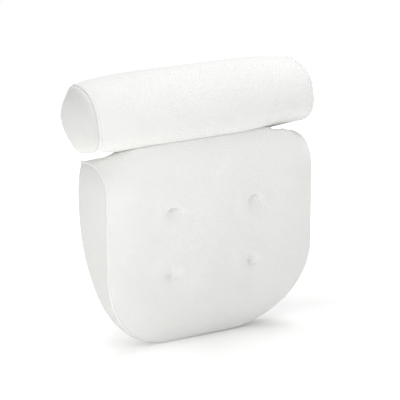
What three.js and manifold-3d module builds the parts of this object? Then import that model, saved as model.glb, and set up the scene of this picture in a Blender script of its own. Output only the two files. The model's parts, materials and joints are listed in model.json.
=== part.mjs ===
// Bath pillow: a tufted back pad that stands on its lower edge, with a neck roll sewn
// along its top by a hinge strip, and suction cups behind both to hold it to a tub.
// Millimetres, +Z up. A bather leans on the front, which faces -Y, and +X is to the right
// of someone who looks at the front. The origin is the middle of the flat patch that the
// pad stands on.
import * as THREE from 'three';
import { mergeVertices } from 'three/addons/utils/BufferGeometryUtils.js';
import Module from 'manifold-3d';

// Fits
const CLEARANCE = 0.3; // gap between pieces that touch
const FILL_CLEARANCE = 0.7; // gap between a fill and its covers
const MITRE = 0.7; // share of its thickness by which a panel's inner edge steps back at a seam
const DISH_MITRE = 1.5; // the same for a dished panel, which thickens straight in

// Cloth and trim
const MESH_THICKNESS = 4; // air mesh of the two front covers
const PANEL_THICKNESS = 3; // plain cloth of the other panels
const PIPING_RADIUS = 1.8;
const PIPING_SIDES = 6;

// Pad outline, seen from the front
const PAD_CORNER_HEIGHT = 268; // top corners of the pad
const PAD_CORNER_HALF_WIDTH = 173.5;
const PAD_BACK_HALF_WIDTH = 178.5; // back seam at its widest
const PAD_BACK_WIDEST_HEIGHT = 228;
const PAD_BACK_BOTTOM_HALF = 45; // half of the straight lower edge of the back seam
const PAD_BACK_SQUARENESS = 2.2; // 2 is an ellipse, more is squarer
const PAD_FRONT_HALF_WIDTH = 167; // front seam along the sides
const PAD_FRONT_CORNER_HEIGHT = 123; // where the lower corners of the front seam begin
const PAD_FRONT_BOTTOM_HALF = 49; // half of the straight lower edge of the front seam
const BOTTOM_SEAM_HEIGHT = 3; // both seams above the floor
const PRESSED_FLAT = 0.5; // how much of the band's lower bulge the floor presses flat

// Pad, seen from the side
const PAD_TOP_RUN = 19; // level top edge of the side
const PAD_SHOULDER_RADIUS = 38;
const PAD_BOTTOM_DEPTH = 27.5; // band under the pad
const PAD_TOP_SEAM_RISE = 3; // top seam in the middle, above the corners
const PAD_TOP_CROWN = 12;
const PAD_FRONT_CROWN = 15;
const PAD_SIDE_BULGE = 7;
const PAD_BACK_BULGE = 9;
const PAD_BACK_FLAT = 0.78; // share of the back's outline that its flat middle fills

// Tufts
const TUFT_HALF_SPACING = 66.5;
const TUFT_UPPER_HEIGHT = 191;
const TUFT_LOWER_HEIGHT = 106.5;
const TUFT_DEPTH = 15;
const TUFT_SPREAD = 22; // distance at which a dimple is down to a third
const TUFT_PULL = 30; // reach over which the cloth is drawn sideways to a tuft
const THREAD_RADIUS = 1;
const KNOT_RADIUS = 3;
const KNOT_THICKNESS = 1.5;

// Neck roll
const ROLL_LENGTH = 346; // between the two end seams
const ROLL_HEIGHT = 93.5; // back seams at the ends
const ROLL_FRONT_DEPTH = 58; // at the ends
const ROLL_NOSE_HEIGHT = 39.5; // where the front reaches furthest
const ROLL_UNDERSIDE_SQUARENESS = 2.7;
const ROLL_BACK_DEPTH = 32.5; // at the ends
const ROLL_TOP_SWELL = 8; // how much fuller the middle is than the ends
const ROLL_FRONT_SWELL = 8;
const ROLL_UNDER_SWELL = 3;
const ROLL_BACK_SWELL = 4;
const ROLL_SWELL_SHARPNESS = 5; // high keeps the swell even until close to the ends
const ROLL_END_RISE = 4; // how much the lower seam lifts from the strip to the ends
const ROLL_END_DOME = 15;
const ROLL_LEAN = THREE.MathUtils.degToRad(9.9);

// Hinge strip
const STRIP_HALF_WIDTH = 110;
const STRIP_THICKNESS = 2.4;
const STRIP_SEWN_IN = 8; // depth inside each seam
const ROLL_SEAM_ABOVE_HINGE = 5.5;

// Suction cups and their eyelets
const CUP_RADIUS = 28;
const CUP_LIP_WIDTH = 3.5;
const CUP_LIP_THICKNESS = 1.4;
const CUP_WALL = 2.6;
const CUP_BOWL_DEPTH = 12;
const CUP_HUB_RADIUS = 9;
const CUP_HUB_LENGTH = 4;
const CUP_NECK_RADIUS = 4;
const CUP_KNOB_RADIUS = 6.5;
const CUP_KNOB_LENGTH = 5;
const CUP_TRAVEL = 3; // how far a cup can be pressed in
const CUP_POCKET_CLEARANCE = 4; // room in the fill round a knob
const EYELET_WALL = 2;
const EYELET_FLANGE_RADIUS = 9.5;
const EYELET_FLANGE_THICKNESS = 1.5;
const EYELET_PAD = 12; // half side of the flat cloth under an eyelet on the roll
const EYELET_PAD_FADE = 20; // distance over which that flat runs out
const PAD_UPPER_CUP_X = 122;
const PAD_UPPER_CUP_HEIGHT = 204;
const PAD_LOWER_CUP_X = 76;
const PAD_LOWER_CUP_HEIGHT = 78;
const ROLL_CUP_X = 60;
const ROLL_CUP_HEIGHT = 47; // above the roll's lower seam

// How finely the shapes are divided
const TOP_RUN_STEPS = 2;
const SHOULDER_STEPS = 6;
const SIDE_STEPS = 6;
const CORNER_STEPS = 5; // upper half of a lower corner
const CORNER_LOWER_STEPS = 7;
const BOTTOM_STEPS = 3; // half of the lower edge
const ROLL_FRONT_STEPS = 12;
const ROLL_BACK_STEPS = 3; // above and below the eyelets
const ROLL_END_STEPS = 5; // from an eyelet to the end
const ROLL_MIDDLE_STEPS = 4; // between the eyelets
const CUP_SIDES = 16;
const THREAD_SIDES = 6;

// Sizes that follow from those above
const PAD_SIDE_DEPTH = PAD_TOP_RUN + PAD_SHOULDER_RADIUS;
const PIPING_SETBACK = PIPING_RADIUS + CLEARANCE;
const SEAM_SETBACK = CLEARANCE / 2;
const EYELET_BORE_RADIUS = CUP_NECK_RADIUS + CLEARANCE;
const EYELET_BARREL_RADIUS = EYELET_BORE_RADIUS + EYELET_WALL;
const ROLL_CUP_DEPTH = rollBackDepth(ROLL_CUP_X, ROLL_CUP_HEIGHT);

const wasm = await Module();
wasm.setup();

// Depth runs forward from the pad's back seam, so it is -Y.
function place(x, depth, height) {
  return new THREE.Vector3(x, -depth, height);
}

function clamp01(value) {
  return Math.min(1, Math.max(0, value));
}

function mirrored(point) {
  return new THREE.Vector3(-point.x, point.y, point.z);
}

// Quarter-round rise from 0 to 1.
function rounded(value) {
  return Math.sin(clamp01(value) * Math.PI / 2);
}

function countUp(from, to) {
  return Array.from({ length: to - from + 1 }, (_, i) => from + i);
}

// Collects triangles and turns them into one closed, outward-facing geometry.
class Skin {
  constructor() {
    this.positions = [];
  }

  triangle(a, b, c) {
    this.positions.push(...a.toArray(), ...b.toArray(), ...c.toArray());
  }

  quad(a, b, c, d) {
    this.triangle(a, b, c);
    this.triangle(a, c, d);
  }

  // A grid of points, split along diagonals that mirror each other left and right.
  grid(rows, behind = false) {
    for (let i = 0; i + 1 < rows.length; i += 1) {
      for (let j = 0; j + 1 < rows[i].length; j += 1) {
        const corners = [rows[i][j], rows[i][j + 1], rows[i + 1][j + 1], rows[i + 1][j]];
        if (2 * j < rows[i].length - 1) corners.push(corners.shift());
        const [a, b, c, d] = corners;
        if (behind) this.quad(a, d, c, b);
        else this.quad(a, b, c, d);
      }
    }
  }

  // Joins two closed loops of as many points.
  band(from, to) {
    for (let i = 0; i < from.length; i += 1) {
      const next = (i + 1) % from.length;
      this.quad(from[i], from[next], to[next], to[i]);
    }
  }

  fan(loop, centre) {
    for (let i = 0; i < loop.length; i += 1) {
      this.triangle(loop[i], loop[(i + 1) % loop.length], centre);
    }
  }

  geometry() {
    const made = new THREE.BufferGeometry();
    made.setAttribute('position', new THREE.Float32BufferAttribute(this.positions, 3));
    const merged = mergeVertices(made, 1e-4);
    if (signedVolume(merged) < 0) {
      merged.index.array.reverse();
    }
    return merged;
  }
}

function signedVolume(geometry) {
  const index = geometry.index.array;
  const corner = [0, 1, 2].map(() => new THREE.Vector3());
  let total = 0;
  for (let i = 0; i < index.length; i += 3) {
    corner.forEach((v, k) => v.fromBufferAttribute(geometry.attributes.position, index[i + k]));
    total += corner[0].dot(corner[1].cross(corner[2]));
  }
  return total;
}

function solidOf(geometry) {
  const bare = new THREE.BufferGeometry();
  bare.setAttribute('position', geometry.attributes.position);
  bare.setIndex(geometry.index);
  const merged = mergeVertices(bare, 1e-4);
  const vertProperties = new Float32Array(merged.attributes.position.array);
  const triVerts = new Uint32Array(merged.index.array);
  return new wasm.Manifold(new wasm.Mesh({ numProp: 3, vertProperties, triVerts }));
}

function geometryOf(solid) {
  const mesh = solid.getMesh();
  const made = new THREE.BufferGeometry();
  made.setAttribute('position', new THREE.BufferAttribute(mesh.vertProperties, 3));
  made.setIndex(new THREE.BufferAttribute(mesh.triVerts, 1));
  return made;
}

function cut(geometry, cutters) {
  const rest = cutters.reduce((solid, tool) => solid.subtract(solidOf(tool)), solidOf(geometry));
  return geometryOf(rest);
}

function box(low, high) {
  const size = high.clone().sub(low);
  const middle = high.clone().add(low).multiplyScalar(0.5);
  return new THREE.BoxGeometry(size.x, size.y, size.z).translate(middle.x, middle.y, middle.z);
}

// Turns a closed or axis-to-axis outline of [radius, depth] points about a line along Y.
function turned(outline, sides, x, height) {
  const points = outline.map(([radius, depth]) => new THREE.Vector2(radius, -depth));
  const made = new THREE.LatheGeometry(points, sides);
  const skin = new Skin();
  const flat = made.toNonIndexed().attributes.position;
  const corner = [0, 1, 2].map(() => new THREE.Vector3());
  for (let i = 0; i < flat.count; i += 3) {
    corner.forEach((v, k) => v.fromBufferAttribute(flat, i + k));
    const [a, b, c] = corner;
    if (a.distanceTo(b) > 1e-4 && b.distanceTo(c) > 1e-4 && c.distanceTo(a) > 1e-4) {
      skin.triangle(a, b, c);
    }
  }
  return skin.geometry().translate(x, 0, height);
}

// A path that goes straight from one point to the next.
class PointPath extends THREE.Curve {
  constructor(points) {
    super();
    this.points = points;
  }

  getPoint(t, target = new THREE.Vector3()) {
    const last = this.points.length - 1;
    const before = Math.min(Math.floor(t * last), last - 1);
    return target.lerpVectors(this.points[before], this.points[before + 1], t * last - before);
  }

  getUtoTmapping(u) {
    return u;
  }
}

function pipingAlong(points) {
  const section = new THREE.Shape(
    countUp(0, PIPING_SIDES - 1).map((i) => {
      const angle = i * 2 * Math.PI / PIPING_SIDES;
      return new THREE.Vector2(Math.cos(angle), Math.sin(angle)).multiplyScalar(PIPING_RADIUS);
    }),
  );
  return new THREE.ExtrudeGeometry(section, {
    extrudePath: new PointPath(points),
    steps: points.length - 1,
    bevelEnabled: false,
  });
}

// Panels of cloth

function normalAt(rows, i, j) {
  const last = rows.length - 1;
  const edge = rows[0].length - 1;
  const down = rows[Math.min(i + 1, last)][j].clone().sub(rows[Math.max(i - 1, 0)][j]).normalize();
  const across = rows[i][Math.min(j + 1, edge)].clone().sub(rows[i][Math.max(j - 1, 0)]).normalize();
  const normal = down.cross(across);
  const corner = (i === 0 || i === last) && (j === 0 || j === edge);
  // Where two edges run on into each other, the next point in stands for the corner.
  if (corner && normal.length() < 0.5) return normalAt(rows, i ? last - 1 : 1, j ? edge - 1 : 1);
  return normal.normalize();
}

// The ways into the panel from its sewn edges at one grid point, each with its setback.
function edgesAt(rows, i, j, normal, setbacks) {
  const last = rows.length - 1;
  const edge = rows[0].length - 1;
  const inside = rows[Math.min(Math.max(i, 1), last - 1)][Math.min(Math.max(j, 1), edge - 1)];
  const inward = inside.clone().sub(rows[i][j]);
  const along = (a, b) => {
    const way = a.clone().sub(b).cross(normal).normalize();
    return way.dot(inward) < 0 ? way.negate() : way;
  };
  const down = () => along(rows[Math.min(i + 1, last)][j], rows[Math.max(i - 1, 0)][j]);
  const across = () => along(rows[i][Math.min(j + 1, edge)], rows[i][Math.max(j - 1, 0)]);
  const found = [];
  if (i === 0) found.push({ way: across(), setback: setbacks.top });
  if (i === last) found.push({ way: across(), setback: setbacks.bottom });
  if (j === 0) found.push({ way: down(), setback: setbacks.left });
  if (j === edge) found.push({ way: down(), setback: setbacks.right });
  return found.filter(({ setback }) => setback !== undefined);
}

// The shift that clears every edge at a point by its setback and a further step.
function shiftFrom(edges, step) {
  if (edges.length === 0) return new THREE.Vector3();
  const [first, second] = edges;
  const a = first.setback + step;
  if (!second) return first.way.clone().multiplyScalar(a);
  const b = second.setback + step;
  const cosine = first.way.dot(second.way);
  if (a === b) return first.way.clone().add(second.way).multiplyScalar(a / (1 + cosine));
  const sine2 = 1 - cosine * cosine;
  return first.way.clone().multiplyScalar((a - cosine * b) / sine2)
    .addScaledVector(second.way, (b - cosine * a) / sine2);
}

// A seam surface moved in by a depth, with its edges set back from the seams.
// The rows run so that the cross product in normalAt points out of the cushion.
function inset(rows, depth, setbacks) {
  return rows.map((row, i) => row.map((point, j) => {
    const normal = normalAt(rows, i, j);
    const edges = edgesAt(rows, i, j, normal, setbacks);
    const step = edges.length ? depth * MITRE : 0;
    return point.clone().add(shiftFrom(edges, step)).addScaledVector(normal, -depth);
  }));
}

// The border of a grid as one loop: along the first row, down, back along the last, and up.
function borderOf(rows) {
  const last = rows.length - 1;
  const edge = rows[0].length - 1;
  return [
    ...rows[0],
    ...countUp(1, last).map((i) => rows[i][edge]),
    ...countUp(1, edge).map((j) => rows[last][edge - j]),
    ...countUp(1, last - 1).map((i) => rows[last - i][0]),
  ];
}

function panel(rows, thickness, setbacks) {
  const outer = inset(rows, 0, setbacks);
  const inner = inset(rows, thickness, setbacks);
  const skin = new Skin();
  skin.grid(outer);
  skin.grid(inner, true);
  skin.band(borderOf(inner), borderOf(outer));
  return skin.geometry();
}

// A dished panel: rings of points that close in on a centre, on both faces.
function dish(outer, inner) {
  const skin = new Skin();
  for (let k = 0; k + 1 < outer.rings.length; k += 1) {
    skin.band(outer.rings[k], outer.rings[k + 1]);
    skin.band(inner.rings[k + 1], inner.rings[k]);
  }
  skin.fan(outer.rings.at(-1), outer.centre);
  skin.fan([...inner.rings.at(-1)].reverse(), inner.centre);
  skin.band(inner.rings[0], outer.rings[0]);
  return skin.geometry();
}

// Pad seams, right half, from the top corner to the middle of the lower edge

function padFrontSeam() {
  const shoulderFoot = PAD_CORNER_HEIGHT - PAD_SHOULDER_RADIUS;
  const upperSteps = TOP_RUN_STEPS + SHOULDER_STEPS;
  const upperX = (step) => THREE.MathUtils.lerp(
    PAD_CORNER_HALF_WIDTH, PAD_FRONT_HALF_WIDTH, rounded(step / upperSteps),
  );
  const seam = countUp(0, TOP_RUN_STEPS).map((i) => (
    place(upperX(i), PAD_TOP_RUN * i / TOP_RUN_STEPS, PAD_CORNER_HEIGHT)
  ));
  for (const i of countUp(1, SHOULDER_STEPS)) {
    const angle = i / SHOULDER_STEPS * Math.PI / 2;
    const depth = PAD_TOP_RUN + PAD_SHOULDER_RADIUS * Math.sin(angle);
    const height = shoulderFoot + PAD_SHOULDER_RADIUS * Math.cos(angle);
    seam.push(place(upperX(TOP_RUN_STEPS + i), depth, height));
  }
  for (const i of countUp(1, SIDE_STEPS)) {
    const height = THREE.MathUtils.lerp(shoulderFoot, PAD_FRONT_CORNER_HEIGHT, i / SIDE_STEPS);
    seam.push(place(PAD_FRONT_HALF_WIDTH, PAD_SIDE_DEPTH, height));
  }
  for (const i of countUp(1, CORNER_STEPS + CORNER_LOWER_STEPS)) {
    seam.push(padFrontCorner(i));
  }
  for (const i of countUp(1, BOTTOM_STEPS)) {
    const x = PAD_FRONT_BOTTOM_HALF * (1 - i / BOTTOM_STEPS);
    seam.push(place(x, PAD_BOTTOM_DEPTH, BOTTOM_SEAM_HEIGHT));
  }
  return seam;
}

// The lower corner is a quarter ellipse that also draws back under the pad.
function padFrontCorner(step) {
  const below = Math.max(0, step - CORNER_STEPS);
  const quarter = Math.PI / 4;
  const angle = quarter * Math.min(step / CORNER_STEPS, 1) + quarter * below / CORNER_LOWER_STEPS;
  const across = PAD_FRONT_HALF_WIDTH - PAD_FRONT_BOTTOM_HALF;
  const down = PAD_FRONT_CORNER_HEIGHT - BOTTOM_SEAM_HEIGHT;
  return place(
    PAD_FRONT_BOTTOM_HALF + across * Math.cos(angle),
    PAD_BOTTOM_DEPTH + (PAD_SIDE_DEPTH - PAD_BOTTOM_DEPTH) * Math.cos(angle) ** 2,
    PAD_FRONT_CORNER_HEIGHT - down * Math.sin(angle),
  );
}

function padBackUpper(height) {
  const share = (height - PAD_BACK_WIDEST_HEIGHT) / (PAD_CORNER_HEIGHT - PAD_BACK_WIDEST_HEIGHT);
  const x = THREE.MathUtils.lerp(PAD_BACK_HALF_WIDTH, PAD_CORNER_HALF_WIDTH, share * share);
  return place(x, 0, height);
}

function padBackLower(angle) {
  const power = 2 / PAD_BACK_SQUARENESS;
  const across = PAD_BACK_HALF_WIDTH - PAD_BACK_BOTTOM_HALF;
  const down = PAD_BACK_WIDEST_HEIGHT - BOTTOM_SEAM_HEIGHT;
  const x = PAD_BACK_BOTTOM_HALF + across * Math.cos(angle) ** power;
  return place(x, 0, PAD_BACK_WIDEST_HEIGHT - down * Math.sin(angle) ** power);
}

// The back seam's point that lies in the same direction from the pad's middle.
function padBackBeside(point) {
  const middle = PAD_CORNER_HEIGHT / 2;
  const bearing = (p) => Math.atan2(middle - p.z, p.x);
  if (point.x <= PAD_BACK_BOTTOM_HALF) return place(point.x, 0, BOTTOM_SEAM_HEIGHT);
  let low = 0;
  let high = Math.PI / 2;
  for (let i = 0; i < 40; i += 1) {
    const half = (low + high) / 2;
    if (bearing(padBackLower(half)) < bearing(point)) low = half;
    else high = half;
  }
  return padBackLower(low);
}

function padBackSeam(frontSeam) {
  const upperSteps = TOP_RUN_STEPS + SHOULDER_STEPS;
  return frontSeam.map((point, i) => {
    if (i > upperSteps) return padBackBeside(point);
    const height = THREE.MathUtils.lerp(PAD_CORNER_HEIGHT, PAD_BACK_WIDEST_HEIGHT, i / upperSteps);
    return padBackUpper(height);
  });
}

// Pad surfaces

const SIDE_ROWS = TOP_RUN_STEPS + SHOULDER_STEPS + SIDE_STEPS + CORNER_STEPS;
const HALF_COLUMNS = CORNER_LOWER_STEPS + BOTTOM_STEPS;
const COLUMNS = 2 * HALF_COLUMNS;
const frontSeam = padFrontSeam();
const backSeam = padBackSeam(frontSeam);

function crownAcross(u) {
  return (1 - Math.abs(2 * u - 1) ** 3) ** 0.6;
}

function padTopEdge(j) {
  const u = j / COLUMNS;
  const x = (2 * u - 1) * PAD_CORNER_HALF_WIDTH;
  return place(x, 0, PAD_CORNER_HEIGHT + PAD_TOP_SEAM_RISE * crownAcross(u));
}

// One edge of the pad from the lower left corner to the lower right.
function padLowerEdge(seam, j) {
  const fromMiddle = Math.abs(j - HALF_COLUMNS);
  const point = seam[SIDE_ROWS + HALF_COLUMNS - fromMiddle];
  return j < HALF_COLUMNS ? mirrored(point) : point.clone();
}

// A smooth sheet stretched between the four edges of the front cover.
function padFrontSheet() {
  return countUp(0, SIDE_ROWS).map((i) => countUp(0, COLUMNS).map((j) => {
    const t = (i / SIDE_ROWS) ** 3;
    const u = j / COLUMNS;
    const right = frontSeam[i];
    const foot = frontSeam[SIDE_ROWS];
    const head = frontSeam[0];
    return mirrored(right).multiplyScalar(1 - u).addScaledVector(right, u)
      .addScaledVector(padTopEdge(j), 1 - t).addScaledVector(padLowerEdge(frontSeam, j), t)
      .addScaledVector(mirrored(head), -(1 - u) * (1 - t)).addScaledVector(head, -u * (1 - t))
      .addScaledVector(mirrored(foot), -(1 - u) * t).addScaledVector(foot, -u * t);
  }));
}

function tuftPlaces() {
  return [TUFT_UPPER_HEIGHT, TUFT_LOWER_HEIGHT].flatMap((height) => (
    [-TUFT_HALF_SPACING, TUFT_HALF_SPACING].map((x) => new THREE.Vector2(x, height))
  ));
}

function planeDistance(point, spot) {
  return Math.hypot(point.x - spot.x, point.z - spot.y);
}

// Draws the sheet sideways so that one of its points lies on each tuft.
function drawToTufts(rows) {
  const inner = rows.slice(TOP_RUN_STEPS + SHOULDER_STEPS, -1).flatMap((row) => row.slice(1, -1));
  return tuftPlaces().map((spot) => {
    const nearest = inner.reduce((best, point) => (
      planeDistance(point, spot) < planeDistance(best, spot) ? point : best
    ));
    const pull = new THREE.Vector2(spot.x - nearest.x, spot.y - nearest.z);
    const from = new THREE.Vector2(nearest.x, nearest.z);
    for (const point of inner) {
      const weight = Math.exp(-((planeDistance(point, from) / TUFT_PULL) ** 2));
      point.x += pull.x * weight;
      point.z += pull.y * weight;
    }
    return nearest;
  });
}

// The front cover's outer surface, and its point at each tuft.
function padFrontSurface() {
  const sheet = padFrontSheet();
  const tuftIndex = drawToTufts(sheet).map((point) => {
    const i = sheet.findIndex((row) => row.includes(point));
    return { i, j: sheet[i].indexOf(point) };
  });
  const rows = sheet.map((row, i) => row.map((point, j) => {
    const past = clamp01((i - TOP_RUN_STEPS) / SHOULDER_STEPS);
    const height = THREE.MathUtils.lerp(PAD_TOP_CROWN - PAD_TOP_SEAM_RISE, PAD_FRONT_CROWN, past);
    const down = rounded(i / TOP_RUN_STEPS) * (1 - (i / SIDE_ROWS) ** 4) ** 0.6;
    const crown = height * down * crownAcross(j / COLUMNS);
    const onFront = i > 0 && i < SIDE_ROWS && j > 0 && j < COLUMNS;
    const dimple = tuftPlaces().reduce((sum, spot) => (
      sum + TUFT_DEPTH * Math.exp(-planeDistance(point, spot) / TUFT_SPREAD)
    ), 0);
    const moved = point.clone().addScaledVector(normalAt(sheet, i, j), crown);
    moved.y += onFront ? dimple * past : 0;
    moved.z = Math.max(0, moved.z);
    return moved;
  }));
  return { rows, tufts: tuftIndex.map(({ i, j }) => rows[i][j]) };
}

// Both halves of a seam as one run, from the top right corner round to the top left.
function wholeSeam(half) {
  return [...half, ...half.slice(0, -1).reverse().map(mirrored)];
}

function outwardAt(seam, i) {
  const before = seam[Math.max(0, i - 1)];
  const after = seam[Math.min(seam.length - 1, i + 1)];
  return new THREE.Vector3(before.z - after.z, 0, after.x - before.x).normalize();
}

// The boxing band, from the front seam to the back seam. Its bulge flattens under the pad.
function padGussetSurface() {
  const front = wholeSeam(frontSeam);
  const back = wholeSeam(backSeam);
  return countUp(1, front.length - 2).map((i) => {
    const outward = outwardAt(front, i);
    const width = front[i].distanceTo(back[i]);
    const nearFront = Math.max(0.2, (PIPING_SETBACK + PANEL_THICKNESS) / width);
    const nearBack = Math.max(0.2, (SEAM_SETBACK + PANEL_THICKNESS) / width);
    const under = clamp01(-outward.z) ** 2;
    const fromTip = Math.min(i, front.length - 1 - i) / (TOP_RUN_STEPS + SHOULDER_STEPS);
    const side = PAD_SIDE_BULGE * rounded(fromTip);
    const bulge = THREE.MathUtils.lerp(side, BOTTOM_SEAM_HEIGHT + PRESSED_FLAT, under);
    return [0, nearFront, 1 - nearBack, 1].map((q) => {
      const arch = 1 - Math.abs(2 * q - 1) ** THREE.MathUtils.lerp(2, 6, under);
      const point = front[i].clone().lerp(back[i], q).addScaledVector(outward, bulge * arch);
      point.z = Math.max(0, point.z);
      return point;
    });
  });
}

// The back seam as a closed loop, in the order of the front cover's border.
function padBackLoop() {
  const top = countUp(0, COLUMNS).map(padTopEdge);
  const right = countUp(1, SIDE_ROWS).map((i) => backSeam[i]);
  const bottom = countUp(1, COLUMNS).map((j) => padLowerEdge(backSeam, COLUMNS - j));
  const left = countUp(1, SIDE_ROWS - 1).map((i) => mirrored(backSeam[SIDE_ROWS - i]));
  return [...top, ...right, ...bottom, ...left];
}

// Rings that close in on the flat middle of the pad's back, moved forward by a depth.
function padBackRings(depth, setback) {
  const loop = padBackLoop();
  const centre = place(0, 0, PAD_CORNER_HEIGHT / 2);
  const seamRing = loop.map((point, i) => {
    const one = outwardAt([loop.at(i - 1), point], 1);
    const two = outwardAt([point, loop[(i + 1) % loop.length]], 1);
    const reach = setback / (1 + one.dot(two));
    return point.clone().addScaledVector(one.add(two), -reach);
  });
  const swelling = [0.35, 0.7, 1].map((share) => {
    const scale = THREE.MathUtils.lerp(1, PAD_BACK_FLAT, share);
    const bulge = PAD_BACK_BULGE * (1 - (1 - share) ** 2);
    return loop.map((point) => centre.clone().lerp(point, scale).add(place(0, -bulge, 0)));
  });
  const rings = [seamRing, ...swelling];
  rings.flat().forEach((point) => point.add(place(0, depth, 0)));
  return { rings, centre: centre.add(place(0, depth - PAD_BACK_BULGE, 0)) };
}

// Roll surfaces. Heights are above the roll's lower seam.

function rollSwell(x) {
  return 1 - Math.abs(2 * x / ROLL_LENGTH) ** ROLL_SWELL_SHARPNESS;
}

function rollHeight(x) {
  return ROLL_HEIGHT + ROLL_TOP_SWELL * rollSwell(x);
}

// Height of the lower seam, level along the strip and lifting towards the ends.
function rollFoot(x) {
  const beyond = Math.abs(x) - STRIP_HALF_WIDTH - CLEARANCE;
  return ROLL_END_RISE * clamp01(beyond / (ROLL_LENGTH / 2 - STRIP_HALF_WIDTH - CLEARANCE));
}

function rollBackDepth(x, height) {
  const depth = ROLL_BACK_DEPTH + ROLL_BACK_SWELL * rollSwell(x);
  const foot = rollFoot(x);
  return depth * Math.sin(Math.PI * clamp01((height - foot) / (rollHeight(x) - foot)));
}

// Depth and height of the roll's front at one angle, from the top seam to the lower seam.
function rollFrontPoint(x, angle) {
  const depth = ROLL_FRONT_DEPTH + ROLL_FRONT_SWELL * rollSwell(x);
  const turn = Math.sin(angle);
  if (turn >= 0) {
    const above = rollHeight(x) - ROLL_NOSE_HEIGHT;
    return place(x, depth * Math.cos(angle), ROLL_NOSE_HEIGHT + above * turn);
  }
  const power = 2 / ROLL_UNDERSIDE_SQUARENESS;
  const share = Math.cos(angle) ** power;
  const sag = ROLL_UNDER_SWELL * rollSwell(x) * 4 * share * (1 - share);
  const below = Math.abs(turn) ** power;
  return place(x, depth * share, THREE.MathUtils.lerp(ROLL_NOSE_HEIGHT, rollFoot(x), below) - sag);
}

function rollColumns() {
  const outer = ROLL_CUP_X + EYELET_PAD;
  const inner = ROLL_CUP_X - EYELET_PAD;
  const end = countUp(1, ROLL_END_STEPS).map((i) => (
    THREE.MathUtils.lerp(outer, ROLL_LENGTH / 2, i / ROLL_END_STEPS)
  ));
  const middle = countUp(0, ROLL_MIDDLE_STEPS).map((i) => (
    THREE.MathUtils.lerp(-inner, inner, i / ROLL_MIDDLE_STEPS)
  ));
  const left = [...end].reverse().map((x) => -x);
  return [...left, -outer, ...middle, outer, ...end];
}

// A run of points thinned to even steps along its length.
function evenSteps(points, steps) {
  const curve = new THREE.CatmullRomCurve3(points);
  return curve.getSpacedPoints(steps);
}

// Rows run from the top seam to the lower seam, and each row from left to right.
function rollFrontSurface() {
  const fine = countUp(0, 8 * ROLL_FRONT_STEPS);
  const columns = rollColumns().map((x) => evenSteps(fine.map((k) => {
    const angle = Math.PI / 2 - Math.PI * k / fine.at(-1);
    return rollFrontPoint(x, angle);
  }), ROLL_FRONT_STEPS));
  return countUp(0, ROLL_FRONT_STEPS).map((i) => columns.map((column) => column[i]));
}

// The cloth lies flat under each eyelet and runs out smoothly around it.
function rollBackSurface() {
  const low = ROLL_CUP_HEIGHT - EYELET_PAD;
  const high = ROLL_CUP_HEIGHT + EYELET_PAD;
  const columns = rollColumns().map((x) => {
    const below = countUp(0, ROLL_BACK_STEPS).map((i) => (
      THREE.MathUtils.lerp(rollFoot(x), low, i / ROLL_BACK_STEPS)
    ));
    const above = countUp(0, ROLL_BACK_STEPS).map((i) => (
      THREE.MathUtils.lerp(high, rollHeight(x), i / ROLL_BACK_STEPS)
    ));
    return [...below, ...above].map((height) => {
      const off = Math.max(Math.abs(Math.abs(x) - ROLL_CUP_X), Math.abs(height - ROLL_CUP_HEIGHT));
      const free = THREE.MathUtils.smoothstep(off, EYELET_PAD + CLEARANCE, EYELET_PAD + EYELET_PAD_FADE);
      const depth = THREE.MathUtils.lerp(ROLL_CUP_DEPTH, rollBackDepth(x, height), free);
      const seam = height === rollFoot(x) || height === rollHeight(x);
      return place(x, seam ? 0 : -depth, height);
    });
  });
  return columns[0].map((_, i) => columns.map((column) => column[i]));
}

// Height of a run of points at one place along Y, or undefined past its ends.
function heightAlong(points, y) {
  for (let i = 0; i + 1 < points.length; i += 1) {
    const [a, b] = [points[i], points[i + 1]];
    const share = (y - a.y) / (b.y - a.y);
    if (share >= 0 && share <= 1) return THREE.MathUtils.lerp(a.z, b.z, share);
  }
  return undefined;
}

// The hinge's height at which the leaning roll just rests on the crown of the pad.
function restingHeight() {
  const crown = padFrontSurface().rows.map((row) => row[HALF_COLUMNS]);
  const roll = rollFrontSurface();
  const middle = (roll[0].length - 1) / 2;
  const under = roll.map((row) => (
    row[middle].clone().add(place(0, 0, ROLL_SEAM_ABOVE_HINGE))
      .applyAxisAngle(new THREE.Vector3(1, 0, 0), -ROLL_LEAN)
  )).reverse();
  const drops = [...crown, ...under].map(({ y }) => heightAlong(crown, y) - heightAlong(under, y));
  return Math.max(...drops.filter((drop) => !Number.isNaN(drop))) + CLEARANCE;
}

const HINGE_HEIGHT = restingHeight();

// One end of the roll as a closed loop: down the front and up the back.
function rollEndLoop(frontRows, backRows, j) {
  const front = frontRows.map((row) => row[j]);
  const back = backRows.slice(1, -1).map((row) => row[j]);
  return [...front, ...back];
}

// Rings of a domed end that closes in on its centre, moved in by a depth.
function rollEndRings(loop, side, depth, setbacks) {
  const centre = loop.reduce((sum, p) => sum.add(p), new THREE.Vector3()).divideScalar(loop.length);
  const shares = [1, 0.8, 0.55, 0.25];
  const dome = (share) => side * (ROLL_END_DOME * Math.sqrt(1 - share * share) - depth);
  const rings = shares.map((share, k) => loop.map((point, i) => {
    const moved = centre.clone().lerp(point, share);
    if (k === 0) {
      const way = centre.clone().sub(point).normalize();
      const setback = i <= ROLL_FRONT_STEPS ? setbacks.front : setbacks.back;
      moved.addScaledVector(way, setback + depth * DISH_MITRE);
    }
    moved.x += dome(share);
    return moved;
  }));
  const tip = centre.clone();
  tip.x += dome(0);
  return { rings, centre: tip };
}

// Hardware, as outlines of [radius, depth] about a line along Y. Depth 0 is the outer face
// of the cloth that the eyelet clamps, and depth grows towards the front.

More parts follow.
